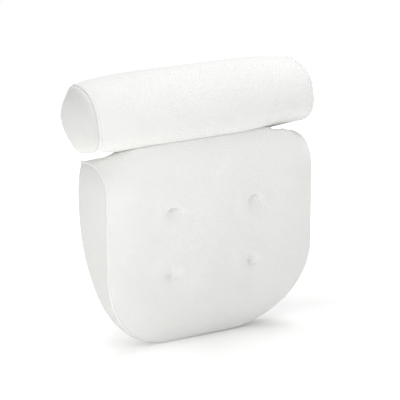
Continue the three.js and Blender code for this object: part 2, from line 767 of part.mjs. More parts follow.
function eyeletOutline() {
  const outerFlange = -CLEARANCE - EYELET_FLANGE_THICKNESS;
  const innerFlange = PANEL_THICKNESS + CLEARANCE + EYELET_FLANGE_THICKNESS;
  return [
    [EYELET_BORE_RADIUS, outerFlange],
    [EYELET_FLANGE_RADIUS, outerFlange],
    [EYELET_FLANGE_RADIUS, -CLEARANCE],
    [EYELET_BARREL_RADIUS, -CLEARANCE],
    [EYELET_BARREL_RADIUS, PANEL_THICKNESS + CLEARANCE],
    [EYELET_FLANGE_RADIUS, PANEL_THICKNESS + CLEARANCE],
    [EYELET_FLANGE_RADIUS, innerFlange],
    [EYELET_BORE_RADIUS, innerFlange],
    [EYELET_BORE_RADIUS, outerFlange],
  ];
}

function cupOutline() {
  const shoulder = PANEL_THICKNESS + 2 * CLEARANCE + EYELET_FLANGE_THICKNESS;
  const hub = -2 * CLEARANCE - EYELET_FLANGE_THICKNESS - CUP_TRAVEL;
  const bowl = hub - CUP_HUB_LENGTH;
  const lip = bowl - CUP_BOWL_DEPTH;
  const flare = CUP_RADIUS - CUP_LIP_WIDTH;
  return [
    [0, shoulder + CUP_KNOB_LENGTH],
    [0.6 * CUP_KNOB_RADIUS, shoulder + CUP_KNOB_LENGTH],
    [CUP_KNOB_RADIUS, shoulder + 0.5 * CUP_KNOB_LENGTH],
    [CUP_KNOB_RADIUS, shoulder],
    [CUP_NECK_RADIUS, shoulder],
    [CUP_NECK_RADIUS, hub],
    [CUP_HUB_RADIUS, hub],
    [CUP_HUB_RADIUS, bowl],
    [THREE.MathUtils.lerp(CUP_HUB_RADIUS, flare, 0.62), bowl - 0.35 * CUP_BOWL_DEPTH],
    [flare, lip + CUP_LIP_THICKNESS + 0.2 * CUP_BOWL_DEPTH],
    [CUP_RADIUS, lip + CUP_LIP_THICKNESS],
    [CUP_RADIUS, lip],
    [flare, lip],
    [THREE.MathUtils.lerp(CUP_HUB_RADIUS, flare, 0.55), bowl - 0.35 * CUP_BOWL_DEPTH - CUP_WALL],
    [0, bowl - CUP_WALL],
  ].reverse();
}

// The room that a cup's knob and its eyelet need inside the fill.
function cupPocket() {
  const radius = Math.max(CUP_KNOB_RADIUS + CUP_POCKET_CLEARANCE, EYELET_FLANGE_RADIUS + CLEARANCE);
  const shoulder = PANEL_THICKNESS + 2 * CLEARANCE + EYELET_FLANGE_THICKNESS;
  const end = shoulder + CUP_KNOB_LENGTH + CUP_TRAVEL + CLEARANCE;
  return [[0, end], [radius, end], [radius, 0], [0, 0]].reverse();
}

function eyeletHole() {
  const radius = EYELET_BARREL_RADIUS + CLEARANCE;
  const through = PANEL_THICKNESS + CLEARANCE;
  return [[0, through], [radius, through], [radius, -CLEARANCE], [0, -CLEARANCE]].reverse();
}

// A tuft's thread with a knot at each end, from the back face to the front face.
function threadOutline(front, grow) {
  const back = -PAD_BACK_BULGE;
  const thread = THREAD_RADIUS + grow;
  const knot = KNOT_RADIUS + grow;
  const sunk = KNOT_THICKNESS + 2 * CLEARANCE;
  const bury = (face, way) => [face + way * (sunk - KNOT_THICKNESS - grow), face + way * (sunk + grow)];
  const [frontOuter, frontInner] = bury(front, -1);
  const [backOuter, backInner] = bury(back, 1);
  return [
    [0, frontOuter], [knot, frontOuter], [knot, frontInner], [thread, frontInner],
    [thread, backInner], [knot, backInner], [knot, backOuter], [0, backOuter],
  ].reverse();
}

// The same knots and thread with room to spare, open to both faces.
function threadRoom(front) {
  const beyond = TUFT_DEPTH;
  const outline = threadOutline(front, CLEARANCE);
  const widest = KNOT_RADIUS + CLEARANCE;
  return outline.map(([radius, depth], k) => {
    if (k <= 1) return [radius, -PAD_BACK_BULGE - beyond];
    if (k >= outline.length - 2) return [Math.min(radius, widest), front + beyond];
    return [radius, depth];
  });
}

// The strip in section: upright in the pad's seam, then leaning with the roll.
function stripGeometry() {
  const half = STRIP_THICKNESS / 2;
  const low = PAD_CORNER_HEIGHT + PAD_TOP_SEAM_RISE - STRIP_SEWN_IN;
  const high = ROLL_SEAM_ABOVE_HINGE + STRIP_SEWN_IN;
  const lean = (side, along) => new THREE.Vector2(
    side * Math.cos(ROLL_LEAN) + along * Math.sin(ROLL_LEAN),
    HINGE_HEIGHT - side * Math.sin(ROLL_LEAN) + along * Math.cos(ROLL_LEAN),
  );
  const bend = half * Math.tan(ROLL_LEAN / 2);
  const section = new THREE.Shape([
    new THREE.Vector2(-half, low), new THREE.Vector2(half, low),
    new THREE.Vector2(half, HINGE_HEIGHT - bend), lean(half, high), lean(-half, high),
    new THREE.Vector2(-half, HINGE_HEIGHT + bend),
  ]);
  const made = new THREE.ExtrudeGeometry(section, { depth: 2 * STRIP_HALF_WIDTH, bevelEnabled: false });
  // The section is drawn in Y and Z, and the extrusion becomes X.
  made.applyMatrix4(new THREE.Matrix4().makeBasis(
    new THREE.Vector3(0, 1, 0), new THREE.Vector3(0, 0, 1), new THREE.Vector3(1, 0, 0),
  ));
  return made.translate(-STRIP_HALF_WIDTH, 0, 0);
}

// The slot that the strip needs between two heights of the body it is sewn into.
function stripSlot(low, high) {
  const half = STRIP_THICKNESS / 2 + CLEARANCE;
  const side = STRIP_HALF_WIDTH + CLEARANCE;
  return box(place(-side, half, low), place(side, -half, high));
}

// Materials
function finish(colour, roughness) {
  return new THREE.MeshStandardMaterial({ color: colour, roughness, metalness: 0 });
}

const airMesh = finish(0xf1f1ef, 0.95);
const plainCloth = finish(0xe8e8e5, 0.9);
const welt = finish(0xf4f4f2, 0.85);
const fibre = finish(0xf8f8f6, 1);
const thread = finish(0xdededa, 0.8);
const clearVinyl = finish(0xdbe3e6, 0.2);
const whitePlastic = finish(0xeeeeec, 0.4);

function addPiece(group, name, geometry, material) {
  const mesh = new THREE.Mesh(geometry, material);
  mesh.name = name;
  group.add(mesh);
}

// Adds an eyelet and its cup, and returns what they take out of the cloth and the fill.
function addCup(group, prefix, number, x, height, faceDepth) {
  const at = (outline, sides) => turned(outline, sides, x, height).translate(0, -faceDepth, 0);
  addPiece(group, `${prefix}_eyelet_${number}`, at(eyeletOutline(), CUP_SIDES), whitePlastic);
  addPiece(group, `${prefix}_suction_cup_${number}`, at(cupOutline(), CUP_SIDES), clearVinyl);
  return { hole: at(eyeletHole(), CUP_SIDES), pocket: at(cupPocket(), CUP_SIDES) };
}

function buildPad() {
  const pad = new THREE.Group();
  const { rows, tufts } = padFrontSurface();
  const piped = { top: SEAM_SETBACK, bottom: PIPING_SETBACK, left: PIPING_SETBACK, right: PIPING_SETBACK };
  const banded = { left: PIPING_SETBACK, right: SEAM_SETBACK };
  const topSeam = PAD_CORNER_HEIGHT + PAD_TOP_SEAM_RISE;
  const slot = stripSlot(topSeam - STRIP_SEWN_IN - CLEARANCE, HINGE_HEIGHT);
  const rooms = tufts.map((tuft) => turned(threadRoom(-tuft.y), THREAD_SIDES, tuft.x, tuft.z));

  const cups = [
    [-PAD_UPPER_CUP_X, PAD_UPPER_CUP_HEIGHT], [PAD_UPPER_CUP_X, PAD_UPPER_CUP_HEIGHT],
    [-PAD_LOWER_CUP_X, PAD_LOWER_CUP_HEIGHT], [PAD_LOWER_CUP_X, PAD_LOWER_CUP_HEIGHT],
  ].map(([x, height], i) => addCup(pad, 'pad', i + 1, x, height, -PAD_BACK_BULGE));

  const cover = panel(rows, MESH_THICKNESS, piped);
  addPiece(pad, 'pad_front_cover', cut(cover, [slot, ...rooms]), airMesh);
  const grown = SEAM_SETBACK * Math.hypot(1, DISH_MITRE);
  const backRoom = dish(
    padBackRings(0, SEAM_SETBACK - grown),
    padBackRings(PANEL_THICKNESS, SEAM_SETBACK + PANEL_THICKNESS * DISH_MITRE - grown),
  );
  const gusset = panel(padGussetSurface(), PANEL_THICKNESS, banded);
  addPiece(pad, 'pad_gusset', cut(gusset, [backRoom]), plainCloth);
  const welts = wholeSeam(frontSeam);
  welts[0] = welts[0].clone().lerp(welts[1], 0.3);
  welts[welts.length - 1] = mirrored(welts[0]);
  addPiece(pad, 'pad_front_piping', pipingAlong(welts), welt);

  const back = dish(
    padBackRings(0, SEAM_SETBACK),
    padBackRings(PANEL_THICKNESS, SEAM_SETBACK + PANEL_THICKNESS * DISH_MITRE),
  );
  const holes = cups.map((cup) => cup.hole);
  addPiece(pad, 'pad_back_panel', cut(back, [slot, ...rooms, ...holes]), plainCloth);
  const pockets = cups.map((cup) => cup.pocket);
  addPiece(pad, 'pad_fill', cut(padFill(rows, piped), [slot, ...rooms, ...pockets]), fibre);

  tufts.forEach((tuft, i) => {
    const made = turned(threadOutline(-tuft.y, 0), THREAD_SIDES, tuft.x, tuft.z);
    addPiece(pad, `tuft_thread_${i + 1}`, made, thread);
  });
  addPiece(pad, 'hinge_strip', stripGeometry(), airMesh);
  return pad;
}

// The core lies inside the panels and swells a little into the band.
function padFill(rows, setbacks) {
  const front = inset(rows, MESH_THICKNESS + FILL_CLEARANCE, setbacks);
  const depth = PANEL_THICKNESS + FILL_CLEARANCE;
  const back = padBackRings(depth, SEAM_SETBACK + depth * DISH_MITRE);
  const frontLoop = borderOf(front);
  const middle = frontLoop.map((point, i) => {
    const half = point.clone().lerp(back.rings[0][i], 0.5);
    const outward = half.clone().sub(back.centre).setY(0).normalize();
    const fromTip = Math.min(i - COLUMNS, frontLoop.length - i) / (TOP_RUN_STEPS + SHOULDER_STEPS);
    const swell = 0.5 * PAD_SIDE_BULGE * rounded(fromTip) * clamp01(1 + 2 * outward.z);
    return half.addScaledVector(outward, swell);
  });
  const skin = new Skin();
  skin.grid(front);
  skin.band(middle, frontLoop);
  skin.band(back.rings[0], middle);
  for (let k = 0; k + 1 < back.rings.length; k += 1) {
    skin.band(back.rings[k + 1], back.rings[k]);
  }
  skin.fan([...back.rings.at(-1)].reverse(), back.centre);
  return skin.geometry();
}

function buildRoll() {
  const roll = new THREE.Group();
  const front = rollFrontSurface();
  const back = rollBackSurface();
  const edge = front[0].length - 1;
  const piped = { top: SEAM_SETBACK, bottom: SEAM_SETBACK, left: PIPING_SETBACK, right: PIPING_SETBACK };
  const plain = { top: SEAM_SETBACK, bottom: SEAM_SETBACK, left: SEAM_SETBACK, right: SEAM_SETBACK };
  const slot = stripSlot(-ROLL_SEAM_ABOVE_HINGE, STRIP_SEWN_IN + CLEARANCE);
  const cups = [-ROLL_CUP_X, ROLL_CUP_X].map((x, i) => (
    addCup(roll, 'roll', i + 1, x, ROLL_CUP_HEIGHT, -ROLL_CUP_DEPTH)
  ));

  addPiece(roll, 'roll_front_cover', cut(panel(front, MESH_THICKNESS, piped), [slot]), airMesh);
  const holes = cups.map((cup) => cup.hole);
  const backPanel = panel(back, PANEL_THICKNESS, plain);
  addPiece(roll, 'roll_back_panel', cut(backPanel, [slot, ...holes]), plainCloth);

  const ends = { front: PIPING_SETBACK, back: SEAM_SETBACK };
  for (const [name, side, j] of [['left', -1, 0], ['right', 1, edge]]) {
    const loop = rollEndLoop(front, back, j);
    const outer = rollEndRings(loop, side, 0, ends);
    const inner = rollEndRings(loop, side, PANEL_THICKNESS, ends);
    addPiece(roll, `roll_${name}_end`, dish(outer, inner), plainCloth);
    const welts = front.map((row) => row[j].clone());
    welts[0].lerp(welts[1], 0.2);
    welts.at(-1).lerp(welts.at(-2), 0.2);
    addPiece(roll, `roll_${name}_piping`, pipingAlong(welts), welt);
  }
  const pockets = cups.map((cup) => cup.pocket);
  addPiece(roll, 'roll_fill', cut(rollFill(front, back, piped), [slot, ...pockets]), fibre);

  const hung = new THREE.Group();
  roll.position.z = ROLL_SEAM_ABOVE_HINGE;
  hung.add(roll);
  hung.position.z = HINGE_HEIGHT;
  hung.rotation.x = -ROLL_LEAN;
  return hung;
}

function rollFill(frontRows, backRows, setbacks) {
  const panelDepth = PANEL_THICKNESS + FILL_CLEARANCE;
  const front = inset(frontRows, MESH_THICKNESS + FILL_CLEARANCE, setbacks);
  const back = inset(backRows, panelDepth, setbacks);
  const edge = front[0].length - 1;
  const skin = new Skin();
  skin.grid(front);
  skin.grid(back);
  for (const row of [0, 1]) {
    const upper = row ? back[0] : back.at(-1);
    const lower = row ? front.at(-1) : front[0];
    skin.grid(row ? [lower, upper] : [upper, lower]);
  }
  for (const [side, j] of [[-1, 0], [1, edge]]) {
    const loop = [...front.map((row) => row[j]), ...back.map((row) => row[j])];
    const centre = loop.reduce((sum, p) => sum.add(p), new THREE.Vector3()).divideScalar(loop.length);
    centre.x = side * (ROLL_LENGTH / 2 + 0.6 * ROLL_END_DOME - panelDepth);
    skin.fan(side > 0 ? [...loop].reverse() : loop, centre);
  }
  return skin.geometry();
}

const pillow = new THREE.Group();
pillow.add(buildPad(), buildRoll());
pillow.position.y = PAD_BOTTOM_DEPTH / 2;
const bathPillow = new THREE.Group();
bathPillow.add(pillow);

export default bathPillow;
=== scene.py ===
"""Looks of a bath pillow: a tufted pad with a neck roll folded out above it.

Each piece is made in mesh code from the sizes in the property groups, in metres, in the frame of
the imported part. The file is laid out as an add-on and is run as a script.
"""

import json
import math

import bmesh
import bpy
import numpy as np
from bpy.props import FloatProperty, FloatVectorProperty, PointerProperty
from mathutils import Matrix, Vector


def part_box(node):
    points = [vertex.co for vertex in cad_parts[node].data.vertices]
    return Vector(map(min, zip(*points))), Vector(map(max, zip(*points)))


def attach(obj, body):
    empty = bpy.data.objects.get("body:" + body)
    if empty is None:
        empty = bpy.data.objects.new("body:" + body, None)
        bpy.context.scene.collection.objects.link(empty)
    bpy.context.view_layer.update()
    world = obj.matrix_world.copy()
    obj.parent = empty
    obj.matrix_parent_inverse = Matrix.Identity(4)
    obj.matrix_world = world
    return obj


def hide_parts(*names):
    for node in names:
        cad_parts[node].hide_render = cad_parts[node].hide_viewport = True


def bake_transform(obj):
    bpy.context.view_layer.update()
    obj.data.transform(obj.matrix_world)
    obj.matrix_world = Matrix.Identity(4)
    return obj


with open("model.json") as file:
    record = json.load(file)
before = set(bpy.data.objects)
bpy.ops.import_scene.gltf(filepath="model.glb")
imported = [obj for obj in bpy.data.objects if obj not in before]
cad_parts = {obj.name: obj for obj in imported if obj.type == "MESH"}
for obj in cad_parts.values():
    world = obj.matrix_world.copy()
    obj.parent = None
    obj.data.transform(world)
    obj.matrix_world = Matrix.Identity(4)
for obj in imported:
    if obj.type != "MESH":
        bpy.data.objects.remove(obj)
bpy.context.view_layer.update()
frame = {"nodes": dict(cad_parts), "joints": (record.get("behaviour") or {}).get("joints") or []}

bl_info = {
    "name": "Bath pillow",
    "version": (1, 0, 0),
    "blender": (4, 5, 0),
    "location": "3D View > Sidebar > Bath pillow",
    "description": "Builds a tufted bath pillow with a folding neck roll and suction cups",
    "category": "Add Mesh",
}

QUARTER = math.pi / 2
MIRROR = np.array([-1.0, 1.0, 1.0])
HINGE = np.array(next(j for j in frame["joints"] if j["name"] == "neck_fold")["pos_m"], float)

# Stations along the pad's front seam, from its top corner to the middle of its lower edge.
TOP_RUN, SHOULDER, SIDE, CORNER, LOWER_CORNER, BOTTOM = 2.0, 8.0, 14.0, 19.0, 26.0, 29.0

# Cells of the cloth grids. Each count is even, because the cloth run takes every second point.
PAD_ROWS, PAD_COLUMNS, GUSSET_ACROSS = 112, 128, 16
ROLL_ROWS, ROLL_BACK_ROWS, ROLL_COLUMNS, END_RINGS = 72, 48, 128, 20
PAD_ACROSS = np.linspace(0, 1, PAD_COLUMNS + 1)
ROLL_ALONG = np.linspace(-0.5, 0.5, ROLL_COLUMNS + 1)
FIRST_ROW, LAST_ROW, FIRST_COLUMN, LAST_COLUMN = range(4)

# Steps of the search for the back seam, and of the fine runs that even stations are read from.
HALVINGS, FINE_PAD, FINE_ROLL = 40, 2001, 801

# How square the pad's crown is across and towards its foot, and how steeply it starts at the seams.
CROWN_SQUARE, FOOT_SQUARE, CROWN_START = 3, 4, 0.6

# How square the side band's arch is at the sides and under the pad, and how far it would pass the
# floor, which then flattens it.
ARCH_SIDE, ARCH_UNDER, PAST_FLOOR = 2, 6, 0.0005

# The height up to which the side band has no gathers, and the run over which they start.
FLOOR_FLAT, FLOOR_FLAT_RUN = 0.002, 0.01

# Places along the roll, and the share of extra flatness that its underside has there.
UNDER_FILL = (-0.173, -0.125, -0.085, 0.055, 0.115, 0.173), (2.4, 1.0, 1.0, 1.0, -0.5, -0.1)

# The curve of the roll's lower seam to its ends, how far the middle of an end lies above the mean
# of its rim, and how square its dome is.
FOOT_CURVE, END_MIDDLE_UP, DOME_SQUARE = 1.3, 0.008, 2.6

# The depth at which the roll's underside begins. The pad presses it to its shape up to a share of
# the front depth and up to a half width, and that fades over a run at each.
UNDER_START = 0.002
PRESSED_SHARE, PRESSED_RUN, PRESSED_HALF, PRESSED_END_RUN = 0.97, 0.006, 0.15, 0.03

# The swell of the pad's top against the roll: where it ends at the back, where that moves forward
# at the right, the runs over which it fades to the front, to the back and downwards, how much wider
# it is at the right and how much shorter it fades there, its gap to the roll, and how softly it
# meets it.
SWELL_BACK, SWELL_BACK_RIGHT, SWELL_TURN, SWELL_TURN_RUN = 0.006, -0.016, 0.080, 0.030
SWELL_FRONT_RUN, SWELL_BACK_RUN, SWELL_DOWN_RUN = 0.020, 0.024, 0.06
SWELL_RIGHT_RUN, SWELL_WIDER, SWELL_SHORTER = 0.03, 0.003, 0.036
SWELL_GAP, SWELL_SOFT = 0.0001, 0.0003

# At the right the roll and the pad part: the place, the runs over which each leaves the other, how
# much lower the pad lies there, and the notch in the pad that the gap starts with.
PART_PLACE, ROLL_PART_RUN, PAD_PART_RUN, PAD_LOWER = 0.085, 0.05, 0.03, 0.0022
NOTCH_PLACE, NOTCH_WIDTH, NOTCH_DEPTH = 0.110, 0.011, 0.0035

# Creases that run out from each tuft: bearing in degrees, reach and depth in millimetres.
CREASES = (
    ((-6, 52, 3.4), (-40, 34, 2.0), (150, 20, 0.8), (75, 16, 0.6)),
    ((-30, 44, 2.6), (-80, 30, 1.6), (165, 20, 0.8), (62, 18, 0.6)),
    ((-10, 46, 2.4), (-60, 26, 1.4), (140, 18, 0.8), (85, 16, 0.6)),
    ((-24, 46, 3.0), (-75, 26, 1.5), (170, 20, 0.8), (70, 16, 0.6)),
)
CREASE_START, CREASE_WIDTH, CREASE_SPREAD, CREASE_END = 0.004, 0.0035, 0.008, 1.5

# A seam parts for the hinge strip: its play, how far past the strip, and the run where it closes.
SEAM_PLAY, SEAM_PAST, SEAM_RUN = 0.0003, 0.006, 0.005

# The cloth run: its frames, how often its moves are evened, the slack crown that the pad starts
# with, what tufts and floor hold fast, where a tuft alone shapes the cloth and over what run that
# ends, how far moves are scaled, and the longest moves of the pad's panels and the roll's.
CLOTH_FRAMES, EVENING_PASSES, START_FILL = 20, 4, 0.72
TUFT_HOLD, FLOOR_HOLD, TUFT_OWN, TUFT_OWN_RUN = 0.005, 0.0008, 0.010, 0.030
FLAT_SCALE, MOST_SCALE, ROLL_SCALE = 0.35, 2.0, 0.5
PAD_MOST, ROLL_MOST = (0.009, 0.005, 0.004), 0.0025
CLOTH_SETTINGS = {
    "quality": 6, "mass": 0.25, "tension_stiffness": 18.0, "compression_stiffness": 18.0,
    "shear_stiffness": 8.0, "bending_stiffness": 0.6, "use_pressure": True,
    "uniform_pressure_force": 4.0, "vertex_group_mass": "sewn",
}

# Corners of turned outlines in millimetres: radius, depth and rounding. A cup runs from the knob
# inside the cushion to the hollow of its bowl, and lip and rim are its radius and its bowl's.
EYELET_CORNERS = (
    (4.3, -1.8, 0.6), (9.5, -1.8, 1.0), (9.5, -0.3, 0.4), (6.3, -0.3, 0.2),
    (6.3, 3.3, 0.2), (9.5, 3.3, 0.4), (9.5, 4.8, 0.8), (4.3, 4.8, 0.6),
)
CUP_CORNERS = (
    (0, 10.1, 0), (3.9, 10.1, 2), (6.5, 7.6, 2), (6.5, 5.1, 1), (4, 5.1, 0.5), (4, -5.1, 0.8),
    (9, -5.1, 1), (9, -9.1, 2.5), (18.6, -13.3, 8), ("rim", -17.3, 6), ("lip", -19.7, 0.5),
    ("lip", -21.1, 0.5), ("rim", -21.1, 1.5), (17.5, -15.9, 8), (0, -11.7, 0),
)
CUP_LIP_WIDTH = 0.0035
EYELET_STEPS, CUP_STEPS = 5, 6
KNOT_SIDES, EYELET_SIDES, CUP_SIDES = 28, 64, 72

# A tuft's knot: its thickness, the lays of thread seen round it, and their height and slant.
KNOT_THICKNESS, KNOT_LAYS, LAY_HEIGHT, LAY_SLANT = 0.0019, 7, 0.09, 900

# A direction that no cord starts along.
CORD_START = [0.31, 0.27, 0.91]

# How far the piping clears the floor, and how far a welt lies out along the roll, as a share of how
# far it is sunk.
PIPING_UP, WELT_OUT = 0.0002, 0.5

# Points of the hinge strip below the hinge, above it and across.
STRIP_BELOW, STRIP_ABOVE, STRIP_ACROSS = 9, 11, 81

# Lamps: name, size and place. Their powers are in the stage settings.
LAMPS = (
    ("left", 0.8, (-0.45, -0.7, 0.95)),
    ("top", 0.5, (0.5, 0.0, 1.2)),
    ("side", 0.5, (-0.9, -0.3, 0.7)),
    ("right", 1.2, (1.2, 0.0, 2.4)),
    ("behind", 1.2, (0.0, 1.2, 2.4)),
)
LAMP_AIM = Vector((0, 0, 0.2))

# The floor: its half width and height, and where its glow starts and ends about a middle.
FLOOR_HALF, FLOOR_HEIGHT = 1.3, -0.0003
GLOW_NEAR, GLOW_FAR, GLOW_SHIFT = 0.20, 0.75, (-0.16, 0.16, 0)


# Settings


def number(name, description, default, **kind):
    return FloatProperty(name=name, description=description, default=default, **kind)


def length(name, description, default):
    return number(name, description, default, min=0.0, precision=4, unit="LENGTH")


def share(name, description, default):
    return number(name, description, default, min=0.0, max=1.0, subtype="FACTOR")


def turn(name, description, degrees):
    return number(name, description, math.radians(degrees), unit="ROTATION")


def power(name, description, default):
    return number(name, description, default, unit="POWER")


def colour(name, description, default):
    return FloatVectorProperty(
        name=name, description=description, default=default, min=0.0, max=1.0, size=3,
        subtype="COLOR",
    )


class PadSizes(bpy.types.PropertyGroup):
    """Sizes of the tufted pad."""

    corner_height: length("Corner height", "Height of the top corners", 0.268)
    corner_half: length("Corner half width", "Half the width at the top corners", 0.1735)
    back_half: length("Back half width", "Half the widest width of the back", 0.1785)
    back_widest: length("Back widest height", "Height at which the back is widest", 0.228)
    back_bottom_half: length("Back bottom half", "Half the straight lower edge of the back", 0.045)
    back_squareness: number("Back squareness", "How square the back's lower corners are", 2.2)
    front_half: length("Front half width", "Half the width of the front", 0.167)
    front_corner: length("Front corner height", "Height where the lower corners begin", 0.123)
    front_bottom_half: length("Front bottom half", "Half the straight lower front edge", 0.049)
    seam_height: length("Seam height", "Height of the lower seams above the floor", 0.003)
    top_run: length("Top run", "Depth of the flat top before the shoulder", 0.019)
    shoulder: length("Shoulder radius", "Radius of the rounded shoulder", 0.038)
    bottom_depth: length("Bottom depth", "Depth of the pad at its foot", 0.0275)
    top_rise: length("Top seam rise", "How far the top seam arches up", 0.003)
    top_crown: length("Top crown", "Swell of the pad's top", 0.012)
    top_fill: length("Top fill", "How far the top swells up against the roll", 0.026)
    fill_half: length("Fill half width", "Half the width that swells up", 0.178)
    fill_fade: length("Fill fade", "Width over which the swell runs out at the left", 0.096)
    front_crown: length("Front crown", "Swell of the pad's front", 0.015)
    side_bulge: length("Side bulge", "Swell of the side band", 0.007)
    back_bulge: length("Back bulge", "Swell of the back panel", 0.009)
    back_flat: share("Back flat", "Share of the back that lies flat", 0.78)
    tuft_half: length("Tuft half spacing", "Half the distance between tufts across", 0.0665)
    tuft_upper: length("Upper tuft height", "Height of the upper tufts", 0.191)
    tuft_lower: length("Lower tuft height", "Height of the lower tufts", 0.1065)
    tuft_depth: length("Tuft depth", "How far a tuft draws the cover in", 0.0135)
    tuft_spread: length("Tuft spread", "How far from a tuft the cover dips", 0.026)
    tuft_core: length("Tuft core", "How wide the sharp middle of a dip is", 0.005)
    tuft_trail: share("Tuft trail", "How steep that middle is to the right, against the left", 0.4)
    core_share: share("Core share", "How much of a dip's depth is in its sharp middle", 0.22)


class RollSizes(bpy.types.PropertyGroup):
    """Sizes of the neck roll."""

    length: length("Length", "Length between the end seams", 0.346)
    height: length("Height", "Height at the ends", 0.0935)
    front_depth: length("Front depth", "Depth in front of the seams", 0.058)
    nose: length("Nose height", "Height of the front-most line", 0.0395)
    squareness: number("Underside squareness", "How flat the underside is", 2.7)
    under_fill: number("Underside fill", "How much flatter the middle's underside is", 0.9)
    back_depth: length("Back depth", "Depth behind the seams", 0.0325)
    top_swell: length("Top swell", "Extra height in the middle", 0.008)
    front_swell: length("Front swell", "Extra front depth in the middle", 0.008)
    under_swell: length("Under swell", "Sag of the underside in the middle", 0.003)
    back_swell: length("Back swell", "Extra back depth in the middle", 0.004)
    sharpness: number("Swell sharpness", "How abruptly the swell ends", 5.0)
    end_rise: length("End rise", "How much the lower seam lifts to the ends", 0.002)
    right_rise: length("Right rise", "How much more it lifts to the right end", 0.0016)
    left_dome: length("Left dome", "How far the left end domes out", 0.0185)
    right_dome: length("Right dome", "How far the right end domes out", 0.0125)
    strip_half: length("Strip half width", "Half the width of the hinge strip", 0.110)
    lean: turn("Lean", "How far the roll leans back at rest", 9.9)
    seam_up: length("Seam above hinge", "Height of the lower seam above the hinge", 0.0055)
    cup_height: length("Cup height", "Height of the cups above the lower seam", 0.047)
    cup_face: length("Cup face", "Depth of the cloth face that the eyelets clamp", 0.0362369)


class TrimSizes(bpy.types.PropertyGroup):
    """Sizes of cloth, piping, thread and hardware."""

    cloth: length("Cloth thickness", "Thickness of the cover cloth", 0.0016)
    piping: length("Piping radius", "Radius of the piping on the seams", 0.0019)
    sunk: length("Piping sunk", "How far the piping's middle lies below the cloth", 0.0010)
    setback: length("Piping setback", "How far cloth stops short of a piped seam", 0.0008)
    strip_thickness: length("Strip thickness", "Thickness of the hinge strip", 0.0016)
    strip_sewn: length("Strip sewn in", "How far the strip runs into each cushion", 0.008)
    thread: length("Thread radius", "Radius of a tuft's thread", 0.0009)
    knot: length("Knot radius", "Radius of a tuft's knot", 0.003)
    cup_radius: length("Cup radius", "Radius of a suction cup's lip", 0.028)
    eyelet_room: length("Eyelet room", "Cloth that lies flat round an eyelet", 0.012)
    eyelet_fade: length("Eyelet fade", "Distance over which the cloth runs out", 0.020)
    eyelet_hole: length("Eyelet hole", "Radius of the hole under an eyelet", 0.0066)


class Finishes(bpy.types.PropertyGroup):
    """Colours of the finishes, and the pitches of the mesh and the weave."""

    air_mesh: colour("Air mesh", "Knitted mesh of the front covers", (0.88, 0.88, 0.865))
    plain_cloth: colour("Plain cloth", "Plain cloth of sides, ends and back", (0.80, 0.80, 0.785))
    piping: colour("Piping", "Tape round the piped seams", (0.92, 0.92, 0.905))
    thread: colour("Thread", "Tuft thread", (0.74, 0.74, 0.72))
    vinyl: colour("Vinyl", "Clear vinyl of the suction cups", (0.90, 0.95, 0.97))
    plastic: colour("Plastic", "White plastic of the eyelets", (0.86, 0.86, 0.85))
    floor: colour("Floor", "Studio floor", (0.95, 0.95, 0.95))
    mesh_pitch: length("Mesh pitch", "Distance between the holes of the mesh", 0.0027)
    weave_pitch: length("Weave pitch", "Distance between the threads of the cloth", 0.0007)


class StageSettings(bpy.types.PropertyGroup):
    """Camera and light."""

    distance: length("Camera distance", "Distance of the camera from its aim", 3.19)
    azimuth: turn("Camera azimuth", "Turn of the camera round the pillow", -33.52)
    elevation: turn("Camera elevation", "Height of the camera above the horizon", 14.58)
    view_angle: turn("View angle", "Angle that the picture takes in", 9.98)
    aim: FloatVectorProperty(
        name="Aim", description="Point at the middle of the picture",
        default=(0.0176, 0.01375, 0.188), subtype="TRANSLATION", unit="LENGTH",
    )
    sky: number("Sky", "Strength of the even studio light", 0.41)
    left: power("Left light", "Power of the near lamp at the front left", 3.4)
    top: power("Top light", "Power of the near lamp over the right end", 2.8)
    side: power("Side light", "Power of the near lamp at the left", 0.5)
    right: power("Right light", "Power of the lamp high on the right", 13.5)
    behind: power("Back light", "Power of the lamp high at the back", 6.2)
    floor_glow: share("Floor glow", "Light that the floor under the pillow gives of itself", 0.085)
    far_glow: number("Far glow", "Light that the floor further off gives of itself", 1.0)


# Numbers


def mix(a, b, t):
    return a + (b - a) * t


def clamp01(value):
    return np.clip(value, 0.0, 1.0)


def smooth(value):
    t = clamp01(value)
    return t * t * (3 - 2 * t)


def unit(vectors):
    return vectors / np.maximum(np.linalg.norm(vectors, axis=-1, keepdims=True), 1e-12)


def stacked(*parts):
    """Points from their parts. A part may be one number for all of them."""
    return np.stack(np.broadcast_arrays(*parts), -1)


def run_length(points):
    """Length along a run of points, from its first."""
    steps = np.linalg.norm(np.diff(points, axis=0), axis=-1)
    return np.concatenate([[np.zeros_like(steps[0])], np.cumsum(steps, axis=0)])


def run_across(sheet):
    return np.swapaxes(run_length(np.swapaxes(sheet, 0, 1)), 0, 1)


def even_steps(values, points, count):
    """Values at even lengths along the points that they belong to."""
    run = run_length(points)
    return np.interp(np.linspace(0, run[-1], count + 1), run, values)


def unevenness(points, wave, seed, waves=7):
    """Smooth, seeded rise and fall of about one wave, mostly between -1 and 1."""
    chance = np.random.default_rng(seed)
    total = np.zeros(points.shape[:-1])
    for _ in range(waves):
        way = chance.normal(size=points.shape[-1])
        way *= 2 * math.pi / wave / np.linalg.norm(way) * chance.uniform(0.6, 1.4)
        total += np.sin(points @ way + chance.uniform(0, 2 * math.pi))
    return 2 * total / waves


def sheet_normals(sheet):
    """Outward normals of a grid whose rows run down and columns across."""
    normals = np.cross(np.gradient(sheet, axis=0), np.gradient(sheet, axis=1))
    for i, inner_i in ((0, 1), (-1, -2)):
        for j, inner_j in ((0, 1), (-1, -2)):
            normals[i, j] = normals[inner_i, inner_j]
    return unit(normals)


def raised(sheet, height):
    """A sheet moved along its normals."""
    return sheet + sheet_normals(sheet) * height[..., None]


